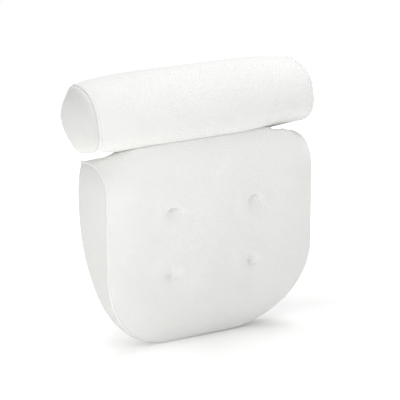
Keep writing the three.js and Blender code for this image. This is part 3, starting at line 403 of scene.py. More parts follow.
def above_floor(sheet):
    sheet[..., 2] = np.maximum(sheet[..., 2], 0.0)


def border(sheet):
    """Which points lie on the edges of a grid."""
    edge = np.ones(sheet.shape[:2], bool)
    edge[1:-1, 1:-1] = False
    return edge


def cloth_map(sheet):
    """Lengths along the cloth, across from the middle column and down from the first row."""
    across = run_across(sheet)
    return np.stack([across - across[:, [sheet.shape[1] // 2]], -run_length(sheet)], -1)


def edge_distances(sheet):
    """Distance along the cloth to the first row, last row, first column and last column."""
    down, across = run_length(sheet), run_across(sheet)
    return down, down[[-1]] - down, across, across[:, [-1]] - across


def within(sheet, width):
    """0 at the edges of a sheet, 1 from a width inside them."""
    return smooth(np.minimum.reduce(edge_distances(sheet)) / width)


def spot_distance(x, height, spots):
    """Distance of each point to the nearest spot."""
    return np.minimum.reduce([np.hypot(x - across, height - up) for across, up in spots])


def doubled(moves, axis):
    """A smooth grid of moves with a new one between each two along an axis."""
    known = np.moveaxis(moves, axis, 0)
    wide = np.concatenate([2 * known[:1] - known[1:2], known, 2 * known[-1:] - known[-2:-1]])
    found = np.empty((2 * len(known) - 1,) + known.shape[1:])
    found[::2] = known
    found[1::2] = (9 * (wide[1:-2] + wide[2:-1]) - wide[:-3] - wide[3:]) / 16
    return np.moveaxis(found, 0, axis)


# Meshes


def grid_faces(rows, columns, start=0):
    index = start + np.arange(rows * columns).reshape(rows, columns)
    corners = [index[:-1, :-1], index[1:, :-1], index[1:, 1:], index[:-1, 1:]]
    return np.stack(corners, -1).reshape(-1, 4)


def new_piece(name, points, faces, uvs=None):
    mesh = bpy.data.meshes.new(name)
    mesh.from_pydata(np.asarray(points).tolist(), [], [list(map(int, f)) for f in faces])
    if uvs is not None:
        corners = np.empty(len(mesh.loops), np.int32)
        mesh.loops.foreach_get("vertex_index", corners)
        layer = mesh.uv_layers.new(name="cloth")
        layer.data.foreach_set("uv", uvs[corners].astype(np.float32).ravel())
    mesh.polygons.foreach_set("use_smooth", np.ones(len(mesh.polygons), bool))
    piece = bpy.data.objects.new(name, mesh)
    bpy.context.scene.collection.objects.link(piece)
    return piece


def weld(piece, turn_out=False):
    """Joins points that lie together, drops faces without area, and can turn faces outwards."""
    work = bmesh.new()
    work.from_mesh(piece.data)
    bmesh.ops.remove_doubles(work, verts=work.verts, dist=2e-6)
    bmesh.ops.dissolve_degenerate(work, edges=work.edges, dist=1e-6)
    if turn_out:
        bmesh.ops.recalc_face_normals(work, faces=work.faces)
    work.to_mesh(piece.data)
    work.free()


def thicken(piece, thickness):
    """Gives a cover its cloth thickness, inwards."""
    solidify = piece.modifiers.new("cloth", "SOLIDIFY")
    solidify.thickness, solidify.offset = thickness, -1.0
    solidify.use_even_offset = False
    solidify.thickness_clamp = 1.0
    shown = piece.evaluated_get(bpy.context.evaluated_depsgraph_get())
    thick = bpy.data.meshes.new_from_object(shown)
    thin = piece.data
    piece.modifiers.clear()
    piece.data = thick
    bpy.data.meshes.remove(thin)
    piece.data.name = piece.name


def cover(name, sheet, thickness, keep=None, cloth=None):
    """A cover panel from a grid of points. keep says which cells stay.

    The cloth's pattern follows lengths along the sheet, or along a smoother one given as cloth.
    """
    rows, columns = sheet.shape[:2]
    faces = grid_faces(rows, columns)
    if keep is not None:
        faces = faces[keep.ravel()]
    used = np.unique(faces)
    renumber = np.full(rows * columns, -1)
    renumber[used] = np.arange(len(used))
    uvs = cloth_map(sheet if cloth is None else cloth).reshape(-1, 2)[used]
    piece = new_piece(name, sheet.reshape(-1, 3)[used], renumber[faces], uvs)
    weld(piece)
    thicken(piece, thickness)
    return piece


def tube(name, path, radius, sides=12, tip=0.6):
    """A round cord along a run of points. Its tips stand out by a share of its radius."""
    way = unit(np.gradient(path, axis=0))
    side = np.empty_like(path)
    side[0] = np.cross(way[0], CORD_START)
    for i in range(len(path)):
        last = side[max(i - 1, 0)]
        side[i] = unit(last - way[i] * (last @ way[i]))
    up = np.cross(way, side)
    angles = np.arange(sides) * 2 * math.pi / sides
    ring = np.cos(angles)[:, None] * side[:, None] + np.sin(angles)[:, None] * up[:, None]
    tips = [path[0] - way[0] * radius * tip, path[-1] + way[-1] * radius * tip]
    points = np.concatenate([(path[:, None] + radius * ring).reshape(-1, 3), tips])
    index = np.arange(len(path) * sides).reshape(-1, sides)
    beside = np.roll(index, -1, axis=1)
    faces = np.stack([index[:-1], beside[:-1], beside[1:], index[1:]], -1).reshape(-1, 4).tolist()
    faces += [[index.size, b, a] for a, b in zip(index[0], beside[0])]
    faces += [[index.size + 1, a, b] for a, b in zip(index[-1], beside[-1])]
    along = run_length(path)
    uvs = stacked(angles * radius, along[:, None]).reshape(-1, 2)
    return new_piece(name, points, faces, np.concatenate([uvs, [[0, along[0]], [0, along[-1]]]]))


def rounded_outline(corners, steps, most=0.48):
    """An outline through corners of (radius, depth, rounding) in millimetres.

    A rounding takes up at most a share of the sides that meet there.
    """
    points = np.array([corner[:2] for corner in corners]) / 1000
    found = []
    for i, point in enumerate(points):
        rounding = corners[i][2] / 1000
        if rounding == 0:
            found.append(point)
            continue
        ends = []
        for way in (points[i - 1] - point, points[(i + 1) % len(points)] - point):
            size = np.linalg.norm(way)
            ends.append(point + way / size * min(rounding, most * size))
        for t in np.linspace(0, 1, steps + 1):
            found.append((1 - t) ** 2 * ends[0] + 2 * t * (1 - t) * point + t * t * ends[1])
    return np.array(found)


def turned(name, outline, sides, closed=False):
    """A piece turned about the line through the origin along Y. Depth runs towards -Y."""
    angles = np.arange(sides) * 2 * math.pi / sides
    radius, depth = outline[:, 0, None], outline[:, 1, None]
    points = stacked(radius * np.cos(angles), -depth, radius * np.sin(angles))
    index = np.arange(len(outline) * sides).reshape(-1, sides)
    beside = np.roll(index, -1, axis=1)
    corners = [index, np.roll(index, -1, axis=0), np.roll(beside, -1, axis=0), beside]
    faces = np.stack(corners, -1)[:None if closed else -1].reshape(-1, 4)
    pattern_radius = 0.01
    uvs = stacked(angles * pattern_radius, run_length(outline)[:, None]).reshape(-1, 2)
    piece = new_piece(name, points.reshape(-1, 3), faces, uvs)
    weld(piece, turn_out=True)
    return piece


def dress(piece, body, slot, *nodes):
    """Gives a piece its finish and its body if it rides on one, and hides the CAD nodes it stands
    for.
    """
    piece.data.materials.clear()
    piece.data.materials.append(finish_for(slot))
    if body:
        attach(piece, body)
    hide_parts(*nodes)
    return piece


def padded_panel(name, sheet, body, slot, nodes, keep=None, cloth=None):
    """A stuffed cover panel."""
    piece = cover(name, sheet, bpy.context.scene.bath_trim.cloth, keep, cloth)
    dress(piece, body, slot, *nodes)


# Cloth run


def filled(panels, pinned):
    """Moves of each panel's points after a short run of air-filled cloth.

    The panels are sewn where their points meet. The run takes every second point of each grid, and
    the points between follow smoothly.
    """
    coarse = [panel[::2, ::2] for panel in panels]
    every = np.concatenate([panel.reshape(-1, 3) for panel in coarse])
    keys, index = np.unique(np.round(every, 6), axis=0, return_inverse=True)
    index = index.ravel()
    held = np.zeros(len(keys), bool)
    held[index[np.concatenate([pin[::2, ::2].ravel() for pin in pinned])]] = True
    faces, start = [], 0
    for panel in coarse:
        for face in index[grid_faces(*panel.shape[:2], start)]:
            corners = list(dict.fromkeys(face.tolist()))
            if len(corners) > 2:
                faces.append(corners)
        start += panel.shape[0] * panel.shape[1]
    form = new_piece("cloth_run", keys, faces)
    group = form.vertex_groups.new(name="sewn")
    group.add(np.flatnonzero(held).tolist(), 1.0, "REPLACE")
    cloth = form.modifiers.new("air", "CLOTH")
    for key, value in CLOTH_SETTINGS.items():
        setattr(cloth.settings, key, value)
    cloth.settings.effector_weights.gravity = 0.0
    cloth.point_cache.frame_start, cloth.point_cache.frame_end = 1, CLOTH_FRAMES
    scene = bpy.context.scene
    for frame_number in range(1, CLOTH_FRAMES + 1):
        scene.frame_set(frame_number)
    shown = form.evaluated_get(bpy.context.evaluated_depsgraph_get())
    places = np.empty(len(keys) * 3)
    shown.data.vertices.foreach_get("co", places)
    moves = places.reshape(-1, 3) - keys
    mesh = form.data
    bpy.data.objects.remove(form)
    bpy.data.meshes.remove(mesh)
    scene.frame_set(1)
    found, start = [], 0
    for panel in coarse:
        count = panel.shape[0] * panel.shape[1]
        move = evened(moves[index[start:start + count]].reshape(panel.shape))
        found.append(doubled(doubled(move, 0), 1))
        start += count
    return found


def evened(moves):
    """Moves averaged with those beside them, inside the border."""
    for _ in range(EVENING_PASSES):
        near = moves[:-2, 1:-1] + moves[2:, 1:-1] + moves[1:-1, :-2] + moves[1:-1, 2:]
        moves[1:-1, 1:-1] = moves[1:-1, 1:-1] / 2 + near / 8
    return moves


def capped(moves, most):
    """Moves no longer than a cap, with a smooth limit."""
    size = np.linalg.norm(moves, axis=-1, keepdims=True)
    return moves * np.where(size > 1e-9, most * np.tanh(size / most) / np.maximum(size, 1e-9), 1.0)


# The pad's shape


def pad_point(pad, x, depth, height):
    return stacked(x, pad.bottom_depth / 2 - depth, height)


def pad_front_seam(pad, station):
    """The right half of the front seam."""
    s = np.asarray(station, float)
    over = clamp01((s - TOP_RUN) / (SHOULDER - TOP_RUN)) * QUARTER
    down = clamp01((s - SHOULDER) / (SIDE - SHOULDER))
    first, second = (s - SIDE) / (CORNER - SIDE), (s - CORNER) / (LOWER_CORNER - CORNER)
    round_it = (clamp01(first) + clamp01(second)) * QUARTER / 2
    along = clamp01((s - LOWER_CORNER) / (BOTTOM - LOWER_CORNER))
    upper_x = mix(pad.corner_half, pad.front_half, np.sin(clamp01(s / SHOULDER) * QUARTER))
    lower_x = pad.front_bottom_half * (1 - along)
    lower_x = lower_x + (pad.front_half - pad.front_bottom_half) * np.cos(round_it)
    upper_depth = pad.top_run * clamp01(s / TOP_RUN) + pad.shoulder * np.sin(over)
    lower_depth = mix(pad.bottom_depth, pad.top_run + pad.shoulder, np.cos(round_it) ** 2)
    foot = pad.corner_height - pad.shoulder + pad.shoulder * np.cos(over)
    upper_z = mix(foot, pad.front_corner, down)
    lower_z = mix(pad.front_corner, pad.seam_height, np.sin(round_it))
    pairs = ((upper_x, lower_x), (upper_depth, lower_depth), (upper_z, lower_z))
    return pad_point(pad, *(np.where(s <= SIDE, upper, lower) for upper, lower in pairs))


def pad_back_lower(pad, angle):
    exponent = 2 / pad.back_squareness
    across = mix(pad.back_bottom_half, pad.back_half, clamp01(np.cos(angle)) ** exponent)
    return across, mix(pad.back_widest, pad.seam_height, clamp01(np.sin(angle)) ** exponent)


def pad_back_seam(pad, station):
    """The right half of the back seam, beside the same stations of the front seam."""
    s = np.asarray(station, float)
    front = pad_front_seam(pad, s)
    middle = pad.corner_height / 2

    def bearing(x, z):
        return np.arctan2(middle - z, x)

    shoulder = pad_front_seam(pad, SHOULDER)
    lag = bearing(pad.back_half, pad.back_widest) - bearing(shoulder[0], shoulder[2])
    wanted = bearing(front[..., 0], front[..., 2])
    wanted = wanted + lag * clamp01((SIDE - s) / (SIDE - SHOULDER))
    low, high = np.zeros_like(s), np.full_like(s, QUARTER)
    for _ in range(HALVINGS):
        half = (low + high) / 2
        short = bearing(*pad_back_lower(pad, half)) < wanted
        low, high = np.where(short, half, low), np.where(short, high, half)
    lower_x, lower_z = pad_back_lower(pad, low)
    straight = front[..., 0] <= pad.back_bottom_half
    lower_x = np.where(straight, front[..., 0], lower_x)
    lower_z = np.where(straight, pad.seam_height, lower_z)
    upper_z = mix(pad.corner_height, pad.back_widest, clamp01(s / SHOULDER))
    rise = (upper_z - pad.back_widest) / (pad.corner_height - pad.back_widest)
    upper_x = mix(pad.back_half, pad.corner_half, rise**2)
    upper = s <= SHOULDER
    return pad_point(pad, np.where(upper, upper_x, lower_x), 0.0, np.where(upper, upper_z, lower_z))


def crown_across():
    return clamp01(1 - np.abs(2 * PAD_ACROSS - 1) ** CROWN_SQUARE) ** CROWN_START


def pad_stations(pad):
    fine = np.linspace(0, CORNER, FINE_PAD)
    return even_steps(fine, pad_front_seam(pad, fine), PAD_ROWS)


def lower_edge(pad, seam):
    """A seam's lower edge from left to right."""
    points = seam(pad, CORNER + (BOTTOM - CORNER) * (1 - np.abs(2 * PAD_ACROSS - 1)))
    points[PAD_ACROSS < 0.5] *= MIRROR
    return points


def stretched(pad, seam, blend_power):
    """A smooth sheet between a seam, its mirror image, the top edge and the seam's lower edge."""
    stations = pad_stations(pad)
    right, bottom = seam(pad, stations), lower_edge(pad, seam)
    height = pad.corner_height + pad.top_rise * crown_across()
    top = pad_point(pad, (2 * PAD_ACROSS - 1) * pad.corner_half, 0.0, height)
    left, u = right * MIRROR, PAD_ACROSS[None, :, None]
    t = ((stations / CORNER) ** blend_power)[:, None, None]
    sheet = (1 - u) * left[:, None] + u * right[:, None] + (1 - t) * top[None] + t * bottom[None]
    sheet -= (1 - t) * ((1 - u) * left[0] + u * right[0])
    return sheet - t * ((1 - u) * left[-1] + u * right[-1])


def pad_front_plain(pad):
    """The front cover without its crown and tufts."""
    return stretched(pad, pad_front_seam, 3)


def tuft_spots(pad):
    heights = (pad.tuft_upper, pad.tuft_lower)
    return [(side * pad.tuft_half, height) for height in heights for side in (-1, 1)]


def tuft_dips(pad, sheet):
    """How far the tufts draw each point of the cover in."""
    total = np.zeros(sheet.shape[:2])
    for x, height in tuft_spots(pad):
        across, up = sheet[..., 0] - x, sheet[..., 2] - height
        far = np.hypot(across, up)
        core = np.hypot(across * np.where(across > 0, pad.tuft_trail, 1.0), up) / pad.tuft_core
        total += mix(np.exp(-far / pad.tuft_spread), np.exp(-core ** 2), pad.core_share)
    return pad.tuft_depth * total


def pad_front(pad, fill):
    """The front cover's outer surface. fill is the share of its crown."""
    stations, sheet = pad_stations(pad), pad_front_plain(pad)
    past = clamp01((stations - TOP_RUN) / (SHOULDER - TOP_RUN))
    height = mix(pad.top_crown - pad.top_rise, pad.front_crown, past)
    down = np.sin(clamp01(stations / TOP_RUN) * QUARTER)
    down = down * clamp01(1 - (stations / CORNER) ** FOOT_SQUARE) ** CROWN_START
    surface = raised(sheet, fill * (height * down)[:, None] * crown_across()[None])
    surface[..., 1] += tuft_dips(pad, sheet) * ~border(sheet) * past[:, None]
    above_floor(surface)
    return surface


def pad_loops(pad):
    """The front and back seams from the top right corner round to the top left, and stations."""
    stations = pad_stations(pad)
    loops = []
    for seam in (pad_front_seam, pad_back_seam):
        right, lower = seam(pad, stations), lower_edge(pad, seam)
        loops.append(np.concatenate([right, lower[::-1][1:], (right * MIRROR)[::-1][1:]]))
    beyond = np.full(PAD_COLUMNS - 1, CORNER)
    return loops[0], loops[1], np.concatenate([stations, beyond, stations[::-1]])


def band_outward(line, front, back):
    """Directions out of the band between two seams, along a line of it."""
    outward = np.cross(np.gradient(line, axis=0), back - front)
    outward[0], outward[-1] = outward[1], outward[-2]
    return unit(outward)


def pad_gusset(pad, fill):
    """The side band, from the front seam to the back seam. It is flat under the pad."""
    front, back, stations = pad_loops(pad)
    outward = band_outward((front + back) / 2, front, back)
    under = clamp01(-outward[:, 2]) ** 2
    from_tip = np.sin(clamp01(stations / SHOULDER) * QUARTER)
    bulge = mix(fill * pad.side_bulge, pad.seam_height + PAST_FLOOR, under) * from_tip
    q = np.linspace(0, 1, GUSSET_ACROSS + 1)
    arch = 1 - np.abs(2 * q - 1)[None] ** mix(ARCH_SIDE, ARCH_UNDER, under)[:, None]
    flat = front[:, None] + (back - front)[:, None] * q[None, :, None]
    surface = flat + outward[:, None] * (bulge[:, None] * arch)[..., None]
    above_floor(surface)
    return surface


def pad_back(pad):
    """The back panel, with its columns from right to left so that it faces backwards."""
    sheet = stretched(pad, pad_back_seam, 2)
    across, up = sheet[..., 0], sheet[..., 2] - pad.corner_height / 2
    turns, reach, rim = np.arctan2(up, across), np.hypot(across, up), border(sheet)
    order = np.argsort(turns[rim])
    edge = np.interp(turns, turns[rim][order], reach[rim][order], period=2 * math.pi)
    part = clamp01((1 - reach / edge) / (1 - pad.back_flat))
    sheet[..., 1] += pad.back_bulge * (1 - (1 - part) ** 2) * ~rim
    return sheet[:, ::-1]


# The roll's shape


def roll_swell(roll, x):
    return 1 - np.abs(2 * x / roll.length) ** roll.sharpness


def roll_reach(roll, x):
    return roll.front_depth + roll.front_swell * roll_swell(roll, x)


def roll_foot(roll, x):
    """Height of the lower seam, level along the strip and lifting towards the ends."""
    beyond = (np.abs(x) - roll.strip_half) / (roll.length / 2 - roll.strip_half)
    right = smooth((x - PART_PLACE) / ROLL_PART_RUN)
    return roll.end_rise * clamp01(beyond) ** FOOT_CURVE + roll.right_rise * right


def roll_squareness(roll, x):
    """The underside is flatter in the middle, where it presses on the pad, and at the left end."""
    return roll.squareness + roll.under_fill * np.interp(x, *UNDER_FILL)


def roll_lower(roll, x, part, below):
    """Height of the underside at a part of its depth. below is the share of the way to the seam."""
    sag = roll.under_swell * roll_swell(roll, x) * 4 * part * (1 - part)
    return mix(roll.nose, roll_foot(roll, x), below) - sag


def roll_under(roll, x, depth):
    """Height of the roll's underside at a depth in front of its seams."""
    part, square = clamp01(depth / roll_reach(roll, x)), roll_squareness(roll, x)
    return roll_lower(roll, x, part, (1 - part**square) ** (1 / square))


def roll_profile(roll, x, angle):
    """Depth and height of the roll's front, from the top seam (a quarter turn) downwards."""
    depth = roll_reach(roll, x)
    top = roll.height + roll.top_swell * roll_swell(roll, x)
    up, square = np.sin(angle), roll_squareness(roll, x)
    part = clamp01(np.cos(angle)) ** (2 / square)
    lower = roll_lower(roll, x, part, np.abs(up) ** (2 / square))
    upper = roll.nose + (top - roll.nose) * up
    return (
        np.where(up >= 0, depth * clamp01(np.cos(angle)), depth * part),
        np.where(up >= 0, upper, lower),
    )


def roll_place(roll, x, depth, height):
    """A point of the roll, in the frame of the part. Heights are above its lower seam."""
    back, up = -np.asarray(depth, float), np.asarray(height, float) + roll.seam_up
    y = back * math.cos(roll.lean) + up * math.sin(roll.lean)
    z = -back * math.sin(roll.lean) + up * math.cos(roll.lean)
    return stacked(x, y + HINGE[1], z + HINGE[2])


def roll_local(roll, points):
    """Depth and height of points of the part in the roll's own frame."""
    y, z = points[..., 1] - HINGE[1], points[..., 2] - HINGE[2]
    back = y * math.cos(roll.lean) - z * math.sin(roll.lean)
    up = y * math.sin(roll.lean) + z * math.cos(roll.lean)
    return -back, up - roll.seam_up


def roll_front(roll):
    fine = np.linspace(QUARTER, -QUARTER, FINE_ROLL)
    columns = []
    for place in ROLL_ALONG * roll.length:
        angle = even_steps(fine, stacked(*roll_profile(roll, place, fine)), ROLL_ROWS)
        angle[0], angle[-1] = QUARTER, -QUARTER
        columns.append(roll_place(roll, place, *roll_profile(roll, place, angle)))
    return np.stack(columns, 1)


def node_middle(node):
    """Middle of a CAD node's box."""
    low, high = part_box(node)
    return [(a + b) / 2 for a, b in zip(low, high)]


def nodes_with(text):
    return sorted(name for name in frame["nodes"] if text in name)


def pad_eyelets():
    """Middle of each of the pad's eyelets across and up."""
    return [node_middle(node)[::2] for node in nodes_with("pad_eyelet")]


def roll_eyelets(roll):
    """Middle of each of the roll's eyelets across, and up in the roll's own frame."""
    return [(node_middle(node)[0], roll.cup_height) for node in nodes_with("roll_eyelet")]


def eyelet_free(trim, far):
    """0 where the cloth lies flat round an eyelet, 1 far from the eyelets."""
    return smooth((far - trim.eyelet_room) / trim.eyelet_fade)


def roll_back(roll, trim):
    x = ROLL_ALONG[None] * roll.length
    top = roll.height + roll.top_swell * roll_swell(roll, x)
    part = np.linspace(0, 1, ROLL_BACK_ROWS + 1)[:, None]
    height = mix(roll_foot(roll, x), top, part)
    full = roll.back_depth + roll.back_swell * roll_swell(roll, x)
    depth = full * np.sin(math.pi * part)
    for spot_x, spot_up in roll_eyelets(roll):
        off = np.maximum(np.abs(x - spot_x), np.abs(height - spot_up))
        depth = mix(roll.cup_face, depth, eyelet_free(trim, off))
    depth[0] = depth[-1] = 0.0
    return roll_place(roll, np.broadcast_to(x, depth.shape), -depth, height)


def roll_end(front, back, side, dome):
    """A domed end, as rings about a point above its middle."""
    column = -1 if side > 0 else 0
    loop = np.concatenate([front[:, column], back[1:, column]])
    middle = loop[:-1].mean(0) + np.array([0, 0, END_MIDDLE_UP])
    rings = np.linspace(0, 1, END_RINGS + 1)
    sheet = middle + (loop - middle)[None] * rings[:, None, None]
    sheet[..., 0] += side * dome * (1 - rings**DOME_SQUARE)[:, None] ** 0.5
    return sheet if side > 0 else sheet[::-1]


# Finishes


class Finish:
    """A node material under construction."""

    def __init__(self, name, **values):
        self.material = bpy.data.materials.new(name)
        self.material.use_nodes = True
        self.tree = self.material.node_tree
        self.tree.nodes.clear()
        self.shader = self.node("BsdfPrincipled", **values)
        self.node("OutputMaterial", Surface=self.shader.outputs["BSDF"])

    def node(self, kind, settings=(), **inputs):
        made = self.tree.nodes.new("ShaderNode" + kind)
        for key, value in dict(settings).items():
            setattr(made, key, value)
        self.put(made, **inputs)
        return made

    def put(self, node, **inputs):
        """Sets inputs of a node to constants, or links them to outputs of others."""
        for key, value in inputs.items():
            socket = node.inputs[key.replace("_", " ")]
            if isinstance(value, bpy.types.NodeSocket):
                self.tree.links.new(value, socket)
            else:
                socket.default_value = value

    def cloth_lengths(self, pitch, angle=0.0):
        """The cloth's own lengths in pitches, turned by an angle."""
        place = self.node("UVMap", {"uv_map": "cloth"}).outputs["UV"]
        scale = (1 / pitch, 1 / pitch, 1)
        mapping = self.node("Mapping", Vector=place, Rotation=(0, 0, angle), Scale=scale)
        return mapping.outputs["Vector"]

    def solid_place(self, wave, shift=(0, 0, 0)):
        """Places in the piece in waves, shifted."""
        place = self.node("TexCoord").outputs["Object"]
        mapping = self.node("Mapping", Vector=place, Location=shift, Scale=(1 / wave,) * 3)
        return mapping.outputs["Vector"]

    def noise(self, vector, detail):
        return self.node("TexNoise", Vector=vector, Scale=1.0, Detail=detail).outputs["Fac"]

    def ramp(self, value, low, high, from_low=0.0, from_high=1.0, kind="LINEAR"):
        made = self.node(
            "MapRange", {"interpolation_type": kind}, Value=value, From_Min=from_low,
            From_Max=from_high, To_Min=low, To_Max=high,
        )
        return made.outputs["Result"]

    def product(self, a, b):
        made = self.node("Math", {"operation": "MULTIPLY"})
        for value, socket in zip((a, b), made.inputs):
            self.tree.links.new(value, socket)
        return made.outputs[0]

    def tint(self, base, shade):
        """The base colour, multiplied by a shade that varies over the surface."""
        made = self.node("Mix", {"data_type": "RGBA", "blend_type": "MULTIPLY"}, Factor=1.0)
        made.inputs[6].default_value = (*base, 1.0)
        self.tree.links.new(shade, made.inputs[7])
        self.put(self.shader, Base_Color=made.outputs[2])

    def hollow_shade_and_drift(self, base, pattern, hollow_shade, wave, detail):
        """The base colour with painted shade in a pattern's hollows, drifting slowly and at random
        along the cloth.
        """
        drift = self.noise(self.solid_place(wave), detail)
        # The pattern's hollows are painted darker, as shade in them; the drift is random tone.
        self.tint(base, self.product(self.ramp(pattern, hollow_shade, 1.0), self.ramp(drift, 0.975, 1.02)))

    def bump(self, height, distance, strength, **below):
        made = self.node("Bump", Height=height, Distance=distance, Strength=strength, **below)
        self.put(self.shader, Normal=made.outputs["Normal"])
        return made.outputs["Normal"]


def air_mesh(finishes):
    """Knitted spacer mesh: round holes on the bias, soft yarn between them, with painted shade in
    the holes.
    """
    finish = Finish(
        "air_mesh", Roughness=0.92, Sheen_Weight=0.18, Sheen_Roughness=0.45, Specular_IOR_Level=0.25
    )
    holes = finish.node(
        "TexVoronoi", {"voronoi_dimensions": "2D", "feature": "F1"}, Scale=1.0, Randomness=0.06,
        Vector=finish.cloth_lengths(finishes.mesh_pitch, math.radians(45)),
    )
    hole = finish.ramp(holes.outputs["Distance"], 0.0, 1.0, 0.16, 0.40, "SMOOTHSTEP")
    yarn = finish.noise(finish.cloth_lengths(finishes.mesh_pitch / 4), detail=1.0)
    # The holes are painted darker, as shade in them.
    finish.hollow_shade_and_drift(finishes.air_mesh, hole, hollow_shade=0.96, wave=0.05, detail=2.0)
    fine = finish.bump(yarn, distance=0.0001, strength=0.5)
    finish.bump(hole, distance=0.0004, strength=0.4, Normal=fine)
    return finish.material


def woven_cloth(name, base, pitch, sheen):
    """Plain woven cloth with threads both ways, and painted shade between the threads."""
    finish = Finish(
        name, Roughness=0.9, Sheen_Weight=sheen, Sheen_Roughness=0.5, Specular_IOR_Level=0.25
    )
    threads = []
    for direction in ("X", "Y"):
        wave = finish.node(
            "TexWave", {"bands_direction": direction}, Vector=finish.cloth_lengths(pitch),
            Scale=0.314, Distortion=0.6, Detail=1.0,
        )
        threads.append(wave.outputs["Fac"])
    weave = finish.product(*threads)
    # The hollows of the weave are painted darker, as shade between the threads.
    finish.hollow_shade_and_drift(base, weave, hollow_shade=0.965, wave=0.06, detail=3.0)
    finish.bump(weave, distance=0.0002, strength=0.5)
    return finish.material


def twisted_thread(finishes):
    finish = Finish("tuft_thread", Roughness=0.8, Sheen_Weight=0.2, Specular_IOR_Level=0.3)
    lengths = finish.cloth_lengths(pitch=0.0008)
    wave = finish.node("TexWave", {"bands_direction": "DIAGONAL"}, Vector=lengths, Scale=0.5)
    # The grooves of the twist are painted darker, as shade in them.
    finish.tint(finishes.thread, finish.ramp(wave.outputs["Fac"], 0.85, 1.0))
    finish.bump(wave.outputs["Fac"], distance=0.0002, strength=0.6)
    return finish.material


def clear_vinyl(finishes):
    """Soft clear vinyl with a faint moulded unevenness."""
    finish = Finish("clear_vinyl", Transmission_Weight=0.82, IOR=1.47)
    wobble = finish.noise(finish.solid_place(wave=0.012), detail=2.0)
    finish.tint(finishes.vinyl, finish.ramp(wobble, 0.94, 1.0))
    finish.put(finish.shader, Roughness=finish.ramp(wobble, 0.10, 0.22))
    finish.bump(wobble, distance=0.0004, strength=0.25)
    return finish.material


def white_plastic(finishes):
    """Moulded plastic with a fine satin grain."""
    finish = Finish("white_plastic", Specular_IOR_Level=0.5)
    grain = finish.noise(finish.solid_place(wave=0.0006), detail=3.0)
    drift = finish.noise(finish.solid_place(wave=0.008), detail=2.0)
    finish.tint(finishes.plastic, finish.ramp(drift, 0.96, 1.0))
    finish.put(finish.shader, Roughness=finish.ramp(drift, 0.32, 0.44))
    finish.bump(grain, distance=0.00005, strength=0.3)
    return finish.material


FINISH_MAKERS = {
    "air_mesh": air_mesh,
    "plain_cloth": lambda f: woven_cloth("plain_cloth", f.plain_cloth, f.weave_pitch, sheen=0.15),
    "piping": lambda f: woven_cloth("piping", f.piping, f.weave_pitch * 0.8, sheen=0.2),
    "tuft_thread": twisted_thread,
    "clear_vinyl": clear_vinyl,
    "white_plastic": white_plastic,
}


def finish_for(slot):
    """The finish of a material slot, made once."""
    found = bpy.data.materials.get(slot)
    if found is not None and found.get("dressed"):
        return found
    if found is not None:
        found.name = slot + "_cad"
    made = FINISH_MAKERS[slot](bpy.context.scene.bath_finishes)
    made.name = slot
    made["dressed"] = True
    return made


# Cloth details


def soft_folds(pad, sheet):
    """Short soft creases that run out from each tuft, as a depth along the cover."""
    total = np.zeros(sheet.shape[:2])
    for (x, height), spokes in zip(tuft_spots(pad), CREASES):
        across, up = sheet[..., 0] - x, sheet[..., 2] - height
        for degrees, reach, depth in spokes:
            way = math.radians(degrees)
            along = across * math.cos(way) + up * math.sin(way)
            beside = -across * math.sin(way) + up * math.cos(way)
            part = clamp01(along / (reach / 1000))
            width = CREASE_WIDTH + CREASE_SPREAD * part
            valley = np.exp(-((beside / width) ** 2)) * smooth(along / CREASE_START)
            total += depth / 1000 * (valley * (1 - part) ** CREASE_END)
    return total


def lumps(sheet, depth, wave, seed):
    return depth * unevenness(sheet, wave, seed)


def puckers(sheet, edges, depth, wave, reach, seed):
    """Small gathers beside sewn edges of a grid."""
    distances = edge_distances(sheet)
    lines = (sheet[[0]], sheet[[-1]], sheet[:, [0]], sheet[:, [-1]])
    total = np.zeros(sheet.shape[:2])
    for k in edges:
        gather = unevenness(np.broadcast_to(lines[k], sheet.shape), wave, seed + k)
        near = distances[k] / reach
        total += depth * gather * np.minimum(1, 3 * near) * np.exp(-near)
    return total


def set_back(sheet, edges, distance, most=0.6):
    """Draws edges of a grid in, one by one, so that the cloth stops at the piping's surface.

    An edge moves at most a share of the way to the line beside it.
    """
    for edge in edges:
        lines = sheet if edge in (FIRST_ROW, LAST_ROW) else np.swapaxes(sheet, 0, 1)
        first, second = (0, 1) if edge in (FIRST_ROW, FIRST_COLUMN) else (-1, -2)
        way = lines[second] - lines[first]
        size = np.maximum(np.linalg.norm(way, axis=-1, keepdims=True), 1e-9)
        lines[first] = lines[first] + way / size * np.minimum(distance, most * size)


def part_seam(sheet, row, roll, trim, way):
    """Parts a long seam where the hinge strip is sewn in. way is the side that this panel is on."""
    room = trim.strip_thickness / 2 + SEAM_PLAY
    wide = smooth((roll.strip_half + SEAM_PAST - np.abs(sheet[row, :, 0])) / SEAM_RUN)
    sheet[row, :, 1] += way * room * wide


